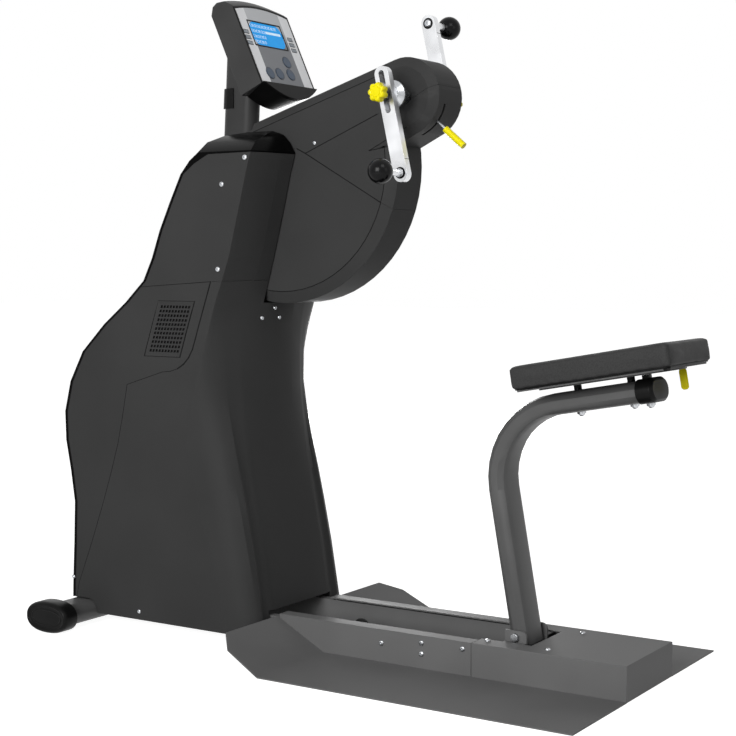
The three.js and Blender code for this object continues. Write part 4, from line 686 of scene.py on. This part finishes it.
def makeSeatNuts(look):
    # each nut hangs where a line from below, a nut's radius off the middle plane, meets the post or its cap
    under = -seatFrame["axes"][2]
    nuts = []
    for x in look["nuts"]:
        start = seatFrame["origin"] + seatFrame["axes"][0] * x + under * look["nutsFrom"]
        node = "post_end_cap" if x > look["stopFrom"] else "seat_post"
        spot, normal = surfaceHit(node, start + [0, look["nutRadius"], 0], -under)
        spot[1] = 0
        nuts.append(aimed(acornNut(look["nutRadius"], look["nutHeight"]), spot, under))
    finishMesh("seat_nuts", joined(nuts), "platedSteel", "post")


def makeSeatPlate(look):
    # the rail's upper plate alone: what lies below its foot is cut away and the cut closed
    plate = softened("seat_rail", "anthracitePowderCoat", look["plateEdge"])
    work = bmesh.new()
    work.from_mesh(plate.data)
    place = Vector(seatFrame["origin"] * mm)
    up = Vector(seatFrame["axes"][2])
    low = [vertex for vertex in work.verts if (vertex.co - place).dot(up) < look["plateFoot"] * mm]
    bmesh.ops.delete(work, geom=low, context="VERTS")
    bmesh.ops.holes_fill(work, edges=work.edges, sides=0)
    work.to_mesh(plate.data)
    work.free()


# Acorn nuts: shares of the radius and of the height
acorn = {"flat": 0.9, "dome": 0.74, "foot": 0.42, "shoulder": 0.5, "steps": 36, "domeRings": 6}


def acornNut(radius, height):
    # a six-sided foot under a dome: hexagon rings, then circles that close on the axis
    turn = np.linspace(0, 2 * np.pi, acorn["steps"], endpoint=False)
    flat, shoulder = acorn["flat"] * radius, acorn["shoulder"]
    hexagon = hexagonRadius(flat, turn)
    rings = [ringAt(0, 0, turn), ringAt(0, hexagon, turn), ringAt(acorn["foot"] * height, hexagon, turn),
             ringAt(shoulder * height, flat, turn)]
    for lift in np.linspace(0, np.pi / 2, acorn["domeRings"]):
        x = height * (shoulder + (1 - shoulder) * np.sin(lift))
        rings.append(ringAt(x, acorn["dome"] * radius * np.cos(lift), turn))
    return ringSurface(rings)


# Button-head screws: a low dome with a six-sided socket. Rows are shares of the radius and of the height.
buttonHead = {"rows": ((0, 0), (1, 0), (1, 0.25), (0.93, 0.55), (0.78, 0.84), (0.62, 1)), "floor": 0.3,
              "steps": 24}


def screwSurface(radius, height, socket):
    # rings out from the seat over the dome to the socket's rim, down its six flat walls and in to its middle
    turn = np.linspace(0, 2 * np.pi, buttonHead["steps"], endpoint=False)
    hexagon = hexagonRadius(socket, turn)
    floor = buttonHead["floor"] * height
    rings = [ringAt(x * height, share * radius, turn) for share, x in buttonHead["rows"]]
    rings += [ringAt(height, hexagon, turn), ringAt(floor, hexagon, turn), ringAt(floor, 0, turn)]
    return ringSurface(rings)


# Screws that show in the photograph. Places are in mm in the floor frame: (node, x, z) on the flank and by
# the foot, (x, z) on the rail, (x, y) on the deck and (y, z) on the front. The left side's are repeated on
# the right, where it can't be seen. The flank's, foot's, front's and boom's screws are set on the surface
# that a line from outside meets.
screws = {"flank": (("upper_housing_{}", -895.5, 1117.6), ("upper_housing_{}", -960.7, 1059.3),
                    ("upper_housing_{}", -973.4, 868.2)),
          "foot": (("rear_cover", -1426.8, 112.7), ("lower_housing", -1216.5, 52.0)),
          "rail": ((-582.4, 45.2), (-479.5, 59.3), (-479.5, 35.0), (-377.5, 60.3)),
          "deck": ((-336.1, 86.0), (-193.5, 86.0)), "front": ((-23.7, 776.6), (-63.8, 753.5), (-3.0, 753.6)),
          "boom": (-800.1, 1153.2), "fromSide": 260, "fromFront": -700, "fromBoom": 200,
          "railY": 122.0, "deckZ": 76.0, "big": 6.2, "small": 5.0, "height": 3.2, "socket": 2.1}


def surfaceHit(node, start, direction):
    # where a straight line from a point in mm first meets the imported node, and the surface's direction there
    work = bmesh.new()
    work.from_mesh(nodes[node].data)
    start = Vector([c * mm for c in start])
    place, normal = BVHTree.FromBMesh(work).ray_cast(start, Vector(direction))[:2]
    work.free()
    return np.array(place) / mm, np.array(normal)


def makeScrews(look):
    # every screw stands square to its surface, and the boom's go straight out to both sides
    def screw(spot, axis, size):
        return aimed(screwSurface(look[size], look["height"], look["socket"]), spot, axis)

    tower, rail = [], []
    for side, name in sides:
        for size, rows in (("big", look["flank"]), ("small", look["foot"])):
            for node, x, z in rows:
                start = x + platformEnd, side * look["fromSide"], z
                spot, normal = surfaceHit(node.format(name), start, (0, -side, 0))
                tower.append(screw(spot, normal, size))
        for x, z in look["rail"]:
            rail.append(screw((x + platformEnd, side * look["railY"], z), (0, side, 0), "big"))
        for x, y in look["deck"]:
            rail.append(screw((x + platformEnd, side * y, look["deckZ"]), (0, 0, 1), "big"))
    for y, z in look["front"]:
        spot, normal = surfaceHit("lower_housing", (platformEnd + look["fromFront"], y, z), (-1, 0, 0))
        tower.append(screw(spot, normal, "small"))
    finishMesh("tower_screws", joined(tower), "platedSteel", "base")
    finishMesh("platform_screws", joined(rail), "platedSteel", "base")
    x, z = look["boom"]
    (x, y, z), normal = surfaceHit("boom_upper_shell", (x + platformEnd, -look["fromBoom"], z), (0, 1, 0))
    boom = [screw((x, side * abs(y), z), (0, side, 0), "small") for side, name in sides]
    finishMesh("boom_screws", joined(boom), "platedSteel", "boom")


makeScrews(screws)
makeSeatBoard(seatParts)
makeSpacers(seatParts)
makeSeatNuts(seatParts)
makeSeatPlate(seatParts)
print("stage: seat fittings and screws")


# Vent plates: a leaning grid of square pockets inside a sloped rim, in mm from the plate's own middle. Faces
# that lie more than darkBelow under the face and more than darkAbove over the back are dark: painted shade
# in the pockets.
vent = {"middle": (platformEnd - 1117.04, 729.06), "width": 107.6, "height": 129.2, "lean": 44,
        "back": 194.2, "face": 196.6, "rim": 2.9, "rimWidth": 8, "columns": 10, "rows": 11,
        "columnStep": 9.1, "rowStep": 10.3, "pocket": 6.2, "depth": 2.2, "wall": 0.12,
        "darkBelow": 0.2, "darkAbove": 0.1, "sharp": 20}


def pocketLines(count, step, pocket, wall):
    # each pocket adds four lines: both sides of its near wall and both of its far wall
    near = (np.arange(count) - (count - 1) / 2) * step - pocket / 2
    lines = np.stack([near, near + wall, near + pocket - wall, near + pocket], -1).ravel()
    inside = np.tile([False, True, True, False], count)
    return lines, inside


def bordered(lines, inside, half, rimWidth):
    # three lines more at both ends: the foot and the top of the rim's outer side, and its inner side; rim is
    # 2 at the back, 1 on the rim's top and 0 on the face
    edge = half - rimWidth
    return (np.concatenate([[-half, -half, -edge], lines, [edge, half, half]]),
            np.concatenate([[False] * 3, inside, [False] * 3]),
            np.concatenate([[2, 1, 0], np.zeros(len(lines)), [0, 1, 2]]))


def ventSurface(look, side):
    # a grid over the face: its height is the rim's slope or a pocket's floor, and its border meets the back
    across = pocketLines(look["columns"], look["columnStep"], look["pocket"], look["wall"])
    up = pocketLines(look["rows"], look["rowStep"], look["pocket"], look["wall"])
    u, inU, rimU = bordered(*across, look["width"] / 2, look["rimWidth"])
    v, inV, rimV = bordered(*up, look["height"] / 2, look["rimWidth"])
    rim = np.maximum(rimU[:, None], rimV[None, :])
    out = np.where(rim == 2, look["back"], look["face"] + look["rim"] * (rim == 1))
    out = out - look["depth"] * (inU[:, None] & inV[None, :])
    x = look["middle"][0] + u[:, None] + look["lean"] * v[None, :] / look["height"]
    z = look["middle"][1] + v[None, :] + 0 * u[:, None]
    points = np.stack([x, side * out, z], -1).reshape(-1, 3)
    row = np.arange(len(u) - 1)[:, None] * len(v)
    here = row + np.arange(len(v) - 1)[None, :]
    faces = np.stack([here, here + 1, here + 1 + len(v), here + len(v)], -1).reshape(-1, 4)
    return points, faces


for side, name in sides:
    plate = ventSurface(vent, side)
    piece = finishMesh(f"vent_plate_{name}", plate, "sparkErodedAbs", "base", vent["sharp"])
    # the black finish on the pockets' floors and walls is painted shade
    piece.data.materials.append(materials["blackNylon"])    # the pockets' floors and walls stay dark
    centres = np.empty(len(piece.data.polygons) * 3)
    piece.data.polygons.foreach_get("center", centres)
    out = np.abs(centres[1::3]) / mm
    deep = (out < vent["face"] - vent["darkBelow"]) & (out > vent["back"] + vent["darkAbove"])
    piece.data.polygons.foreach_set("material_index", deep.astype(np.int32))
    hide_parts(f"vent_grille_{name}")
print("stage: vents")


# Rear foot caps: ovals stacked outwards along Y, round over to a rim, then a sunk face with a raised oval.
# Each row is inset and distance outwards in mm. A power of 1 would be a true ellipse, and less is squarer.
footCap = {"middle": (platformEnd - 1402, 37.5), "width": 130, "height": 75, "from": 283, "power": 0.86,
           "steps": 72, "sharp": 40,
           "rows": ((24, 0), (2, 0), (0.6, 0.6), (0, 2), (0, 33), (0.7, 37), (2.4, 40.4), (4.6, 42.6),
                    (7, 43.4), (9, 42.8), (10.4, 40.6), (12, 39.8), (17, 39.8), (17.8, 40.7), (19, 41),
                    (20.4, 40.7), (21.2, 40), (37.3, 40.3))}


def capSurface(look, side):
    # each ring is an oval: half sizes less the inset, times the cosine's and the sine's sizes to the power
    turn = np.linspace(0, 2 * np.pi, look["steps"], endpoint=False)
    rows = np.array(look["rows"], float)
    half = np.stack([look["width"] / 2 - rows[:, 0], look["height"] / 2 - rows[:, 0]], -1)
    full = [np.sign(wave) * np.abs(wave) ** look["power"] for wave in (np.cos(turn), np.sin(turn))]
    x = look["middle"][0] + half[:, :1] * full[0]
    z = look["middle"][1] + half[:, 1:] * full[1]
    y = side * (look["from"] + rows[:, 1:] + 0 * turn)
    return ringSurface(np.stack([x, y, z], -1))


for side, name in sides:
    piece = finishMesh(f"foot_cap_{name}", capSurface(footCap, side), "blackNylon", "base", footCap["sharp"])
    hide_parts(f"rear_foot_cap_{name}")
print("stage: foot caps")


# Star knobs: a black collar and a seven-lobed yellow head with a raised round middle. Lengths in mm from the
# crank arm's outer face. The head's rows are distance, share of its radius and share of the lobes' depth;
# the collar's are radius and distance. The ripple flattens the lobes.
starKnob = {"face": 134.4, "radius": 19.6, "lobe": 2.1, "lobes": 7, "ripple": 0.22, "steps": 112,
            "sharp": 50,
            "rows": ((16.8, 0, 0), (16.8, 0.86, 0.8), (17.6, 0.93, 0.95), (19.4, 0.985, 1), (22, 1, 1),
                     (32, 1, 1), (35, 0.97, 0.95), (37.2, 0.9, 0.85), (38.4, 0.8, 0.6), (38.6, 0.66, 0.2),
                     (37.2, 0.6, 0), (37.2, 0.56, 0), (38.7, 0.52, 0), (38.9, 0.42, 0), (38.9, 0, 0)),
            "collar": ((0, 0), (11.8, 0), (12.8, 1), (12.8, 13.6), (15.4, 16.6), (0, 16.6))}


def starSurface(look):
    # each ring's radius is the head's plus the lobes' cosine less its ripple, scaled by the row's shares
    turn = np.linspace(0, 2 * np.pi, look["steps"], endpoint=False)
    rows = np.array(look["rows"], float)
    wave = np.cos(look["lobes"] * turn) - look["ripple"] * np.cos(2 * look["lobes"] * turn)
    radius = rows[:, 1:2] * look["radius"] + rows[:, 2:3] * look["lobe"] * wave
    rings = np.stack([rows[:, :1] + 0 * turn, radius * np.cos(turn), radius * np.sin(turn)], -1)
    return ringSurface(rings)


for side, name in sides:
    centre = crankFrames[side]["origin"] + [0, side * starKnob["face"], 0]
    star = finishMesh(f"star_head_{name}", aimed(starSurface(starKnob), centre, (0, side, 0)),
                      "yellowPolyamide", f"knob_{name}", starKnob["sharp"])
    collar = finishMesh(f"star_collar_{name}", aimed(turned(starKnob["collar"]), centre, (0, side, 0)),
                        "blackNylon", f"knob_{name}")
    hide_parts(f"star_knob_{name}")
    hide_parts(f"star_knob_{name}")


# Ball handles: a turned ball with a short neck, and the fittings at the crank arm's end. Lengths in mm along
# the spindle from the middle plane; reach is the spindle's place along the arm. Rows are radius and distance
# from the arm's face. The joint is a hair wider than the arm and ends a hair inside its faces.
ball = {"reach": {left: 174.5, right: 186.5}, "radius": 27, "middle": 213, "neck": 11, "neckTo": 187.2,
        "neckEdge": (0.8, 0.2), "sweepSteps": 28, "steps": 64, "sharp": 60, "armFace": 134, "armInside": 116,
        "washerSink": 0.3, "washerRows": ((0, 0), (12.6, 0), (12.6, 0.7), (12.1, 1.1), (0, 1.1)),
        "nutLift": 0.6, "nutRows": ((0, 0), (9.4, 0), (9.4, 3.2), (8.8, 3.8), (7.6, 7.5), (0, 7.5)),
        "bolt": 8.6, "boltHeight": 3.4, "boltSocket": 3.2, "boltLift": 0.6,
        "jointFrom": 27, "jointWidth": 1.1, "jointHalf": 17.12, "jointSink": (0.06, 0.12)}


def ballProfile(look):
    # a half circle from the neck's ring round to the far pole
    start = np.arcsin(look["neck"] / look["radius"])
    sweep = np.linspace(start, np.pi, look["sweepSteps"])
    circle = [(look["radius"] * np.sin(a), look["middle"] - look["radius"] * np.cos(a)) for a in sweep]
    neck = look["middle"] - look["radius"] * np.cos(start)
    inwards, below = look["neckEdge"]
    return [(0, look["neckTo"]), (look["neck"] - inwards, look["neckTo"]), (look["neck"], neck - below),
            *circle]


def jointSurface(look, side):
    # a thin box across the arm: a rectangle at each side of the joint, each drawn to a line at its middle
    h, w = look["jointHalf"], look["jointWidth"] / 2
    y0, y1 = look["armInside"] + look["jointSink"][0], look["armFace"] - look["jointSink"][1]
    ring = np.array([[-h, y0, -w], [h, y0, -w], [h, y1, -w], [-h, y1, -w]])
    ring[:, 1] *= side
    return ringSurface([ring * [0, 1, 1], ring, ring * [1, 1, -1], ring * [0, 1, -1]])


def makeHandle(look, side, name):
    # along the spindle: ball and neck, two washers, a nut outside and a screw inside; then the arm's joint
    place = crankFrames[side]
    along = place["axes"][2]
    end = place["origin"] + along * look["reach"][side]
    outwards = (0, side, 0)
    grip = aimed(turned(ballProfile(look), look["steps"]), end, outwards)
    piece = finishMesh(f"ball_{name}", grip, "blackPhenolic", f"handle_{name}", look["sharp"])
    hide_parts(f"ball_handle_{name}")
    face, inside = look["armFace"], look["armInside"]
    washers = [turned([(r, y + way * x) for r, x in look["washerRows"]])
               for y, way in ((face - look["washerSink"], 1), (inside + look["washerSink"], -1))]
    finishMesh(f"handle_washers_{name}", aimed(joined(washers), end, outwards), "blackNylon", f"arm_{name}")
    nut = turned([(r, face + look["nutLift"] + x) for r, x in look["nutRows"]])
    bolt = screwSurface(look["bolt"], look["boltHeight"], look["boltSocket"])
    head = aimed(bolt, end + [0, side * (inside - look["boltLift"]), 0], (0, -side, 0))
    finishMesh(f"handle_fittings_{name}", joined([aimed(nut, end, outwards), head]), "platedSteel",
               f"arm_{name}")
    points, faces = jointSurface(look, side)
    middle = end - along * look["jointFrom"]
    finishMesh(f"arm_joint_{name}", (middle + points @ place["axes"], faces), "blackNylon", f"arm_{name}")


for side, name in sides:
    makeHandle(ball, side, name)
print("stage: knobs and handles")


# Console fittings, in mm on the console's face. Rows are inset and distance for the hood's rim, and radius
# and distance for the rings round the keys; from and to are distances from the film.
consoleParts = {"half": 106.2, "top": 195.2, "arch": 12, "rimInner": 4.9, "rimSink": 1,
                "hoodRows": ((0.15, -2), (0.15, -0.4), (0.7, 0.15), (4.4, 0.15), (4.9, -0.3)),
                "displayMiddle": (-8, 132.5), "display": (124, 61), "corner": 2.5,
                "rim": 3.2, "rimFrom": -0.6, "rimTo": 0.9,
                "keyRings": ((-56, 29.1), (-17.8, 31.0), (26.9, 33.0), (29.5, 65.7)),
                "ringRows": ((13.9, -0.4), (15.6, -0.4), (15.6, 0.3), (15.4, 0.5), (14.1, 0.5), (13.9, 0.3),
                             (13.9, -0.4)),
                "smallKeys": (-91, 81), "smallHeights": (103.4, 118.0, 132.6), "smallFrame": (19.6, 10.6),
                "smallHole": (17.4, 8.4), "smallCorner": 1.2, "smallFrom": -0.6, "smallTo": 0.45}
# The display's characters, in mm from its middle: rows of uprights with short bars, and one long bar
characters = {"counts": (17, 9, 8, 7), "first": (-56, 21), "pitch": 6.1, "drop": 14, "height": 7.4,
              "stroke": 0.9, "bar": 3.2, "barAt": 2.0, "barInset": 0.5, "shift": 0.9, "secondAt": 3.6,
              "secondShare": 0.6, "longBarAt": (26, 7), "longBar": (58, 6.5), "sink": 0.2, "lift": 0.12}


def flatRing(middle, outer, inner, corner, low, high, chamfer=0.3):
    # a frame with chamfered edges: rounded rectangles out along the bottom, up, in over the top and down
    rings = []
    for size, inset, x in ((inner, 0, low), (outer, 0, low), (outer, 0, high - chamfer),
                           (outer, chamfer, high), (inner, -chamfer, high), (inner, 0, high - chamfer),
                           (inner, 0, low)):
        outline = roundedOutline(size[0] - 2 * inset, size[1] - 2 * inset, corner)
        rings.append(np.column_stack([np.full(len(outline), x), outline + middle]))
    return ringSurface(rings)


def keyFrames(look):
    # the white bands' keys stand in thin dark frames
    return joined([flatRing((y, z), look["smallFrame"], look["smallHole"], look["smallCorner"],
                            look["smallFrom"], look["smallTo"])
                   for y in look["smallKeys"] for z in look["smallHeights"]])


def frontOf(node):
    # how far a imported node's front stands out along the console's own x axis
    points = meshPoints(nodes[node].data) / mm
    return ((points - consoleFrame["origin"]) @ consoleFrame["axes"].T)[:, 0].max()


def barSurface(middle, size, depth, look):
    # a thin bar on the display: two rectangles, and both ends drawn to a point
    y = middle[0] + np.array([-1, 1, 1, -1]) * size[0] / 2
    z = middle[1] + np.array([-1, -1, 1, 1]) * size[1] / 2
    heights = depth - look["sink"], depth + look["lift"]
    back, front = [np.column_stack([np.full(4, x), y, z]) for x in heights]
    ends = [ring * [1, 0, 0] + [0, *middle] for ring in (back, front)]
    return ringSurface([ends[0], back, front, ends[1]])


def segmentRows(look, middle, depth):
    # each character is an upright, a bar at its top that stands lower by one shift or two on the next two,
    # a bar at its foot and, on every second one, a short upright beside them
    bars = []
    stroke, height, bar = look["stroke"], look["height"], (look["bar"], look["stroke"])
    for row, count in enumerate(look["counts"]):
        z = middle[1] + look["first"][1] - row * look["drop"]
        for i in range(count):
            y = middle[0] + look["first"][0] + i * look["pitch"]
            low = look["shift"] * (i % 3)
            bars.append(((y, z), (stroke, height)))
            bars.append(((y + look["barAt"], z + height / 2 - look["barInset"] - low), bar))
            bars.append(((y + look["barAt"], z - height / 2 + look["barInset"]), bar))
            if (i + row) % 2:
                bars.append(((y + look["secondAt"], z), (stroke, height * look["secondShare"])))
    bars.append(((middle[0] + look["longBarAt"][0], middle[1] + look["longBarAt"][1]), look["longBar"]))
    return joined([barSurface(place, size, depth, look) for place, size in bars])


def consoleOutline(half, low, high, arch, steps=21):
    # straight sides and foot; the top is a parabola that rises by the arch over the middle
    y = np.linspace(half, -half, steps)
    top = np.column_stack([y, high + arch * (1 - (y / half) ** 2)])
    return np.concatenate([[[-half, low], [half, low]], top])


def rimSurface(look, face):
    # the housing's dark front edge: out at its foot, over its rounded front and down inside to the film
    foot = look["rimInner"], face - look["rimSink"]
    rings = []
    for inset, x in (foot, *look["hoodRows"], foot):
        outline = consoleOutline(look["half"] - inset, inset, look["top"] - inset, look["arch"])
        rings.append(np.column_stack([np.full(len(outline), x), outline]))
    return ringSurface(rings)


def makeConsoleParts(look):
    # frames and the hood's rim in one piece, then the rings round the keys and the display's characters
    face = frontOf("console_face")
    outer = look["display"][0] + 2 * look["rim"], look["display"][1] + 2 * look["rim"]
    rim = flatRing(look["displayMiddle"], outer, look["display"], look["corner"], face + look["rimFrom"],
                   face + look["rimTo"])
    points, faces = keyFrames(look)
    dark = joined([rim, (points + [face, 0, 0], faces), rimSurface(look, face)])
    finishMesh("console_frames", placed(dark, consoleFrame), "blackNylon", "base")
    points, faces = turned(look["ringRows"])
    rings = joined([(points + [face, y, z], faces) for y, z in look["keyRings"]])
    finishMesh("key_rings", placed(rings, consoleFrame), "darkBlueSilicone", "base")
    segments = segmentRows(characters, look["displayMiddle"], frontOf("console_window"))
    finishMesh("display_segments", placed(segments, consoleFrame), "litSegments", "base")


makeConsoleParts(consoleParts)
print("stage: console fittings")


# Floor, backdrop and lamps: a colour that faces the key lamp renders about as it is written. The floor's
# size and drop are in metres.
studio = {"floorSize": 40, "floorDrop": 0.0002, "floor": "#cfcfcf", "floorGlow": 0.92, "floorRoughness": 0.9,
          "floorSpecular": 0.1, "world": "#ffffff", "worldLight": 0.18}
lamps = {
    # name: place and aim in metres, size in metres, watts
    "keyLamp": ((0.5, -4.8, 2.1), (-0.2, 0.0, 0.8), 2.4, 205),
    "frontLamp": ((4.6, -0.6, 2.0), (0.0, 0.0, 0.6), 2.0, 12),
    "backLamp": ((-2.8, 4.6, 0.55), (-0.2, 0.0, 0.75), 1.0, 60),
    "consoleLamp": ((1.3, -0.9, 2.4), (-0.25, 0.0, 1.38), 0.8, 8),
}


def seenRays(tree):
    # one for a ray from the camera, off a glossy surface or through a clear one, and none for the others
    path = addNode(tree, "ShaderNodeLightPath")
    seen = addNode(tree, "ShaderNodeMath", {"operation": "MAXIMUM"},
                   {0: (path, "Is Camera Ray"), 1: (path, "Is Glossy Ray")})
    return addNode(tree, "ShaderNodeMath", {"operation": "MAXIMUM"},
                   {0: (seen, 0), 1: (path, "Is Transmission Ray")})


def makeFloor(look):
    # pale and matt, with a glow that only seen rays get, so that it is white but keeps shadows
    half = look["floorSize"] / 2
    mesh = bpy.data.meshes.new("floor")
    corners = [(-half, -half, 0), (half, -half, 0), (half, half, 0), (-half, half, 0)]
    mesh.from_pydata(corners, [], [(0, 1, 2, 3)])
    floor = bpy.data.objects.new("floor", mesh)
    bpy.context.scene.collection.objects.link(floor)
    floor.location = (0, 0, -look["floorDrop"])
    material, tree, shader = newMaterial("paleFloor", look["floor"])
    strength = addNode(tree, "ShaderNodeMath", {"operation": "MULTIPLY", 1: look["floorGlow"]},
                       {0: (seenRays(tree), 0)})
    setNode(tree, shader, {"Base Color": linear(look["floor"]), "Roughness": look["floorRoughness"],
                           "Specular IOR Level": look["floorSpecular"], "Emission Color": (1, 1, 1, 1)},
            {"Emission Strength": (strength, 0)})
    mesh.materials.append(material)


def makeWorld(look):
    # white all round: full for seen rays, and the world's light for the rays that light the object
    world = bpy.data.worlds.new("studio")
    bpy.context.scene.world = world
    world.use_nodes = True
    tree = world.node_tree
    tree.nodes.clear()
    strength = addNode(tree, "ShaderNodeMapRange", {"To Min": look["worldLight"], "To Max": 1.0},
                       {"Value": (seenRays(tree), 0)})
    sky = addNode(tree, "ShaderNodeBackground", {"Color": linear(look["world"])},
                  {"Strength": (strength, "Result")})
    addNode(tree, "ShaderNodeOutputWorld", links={"Surface": (sky, "Background")})


def makeLamp(name, place, aim, size, watts):
    # a square lamp whose own -Z axis points from its place to its aim
    data = bpy.data.lights.new(name, "AREA")
    data.size = size
    data.energy = watts
    lamp = bpy.data.objects.new(name, data)
    lamp.location = place
    lamp.rotation_euler = (Vector(aim) - Vector(place)).to_track_quat("-Z", "Y").to_euler()
    bpy.context.scene.collection.objects.link(lamp)


makeFloor(studio)
makeWorld(studio)
for name, (place, aim, size, watts) in lamps.items():
    makeLamp(name, place, aim, size, watts)
bpy.context.scene.view_settings.view_transform = "Standard"
print("stage: floor, backdrop and lamps")
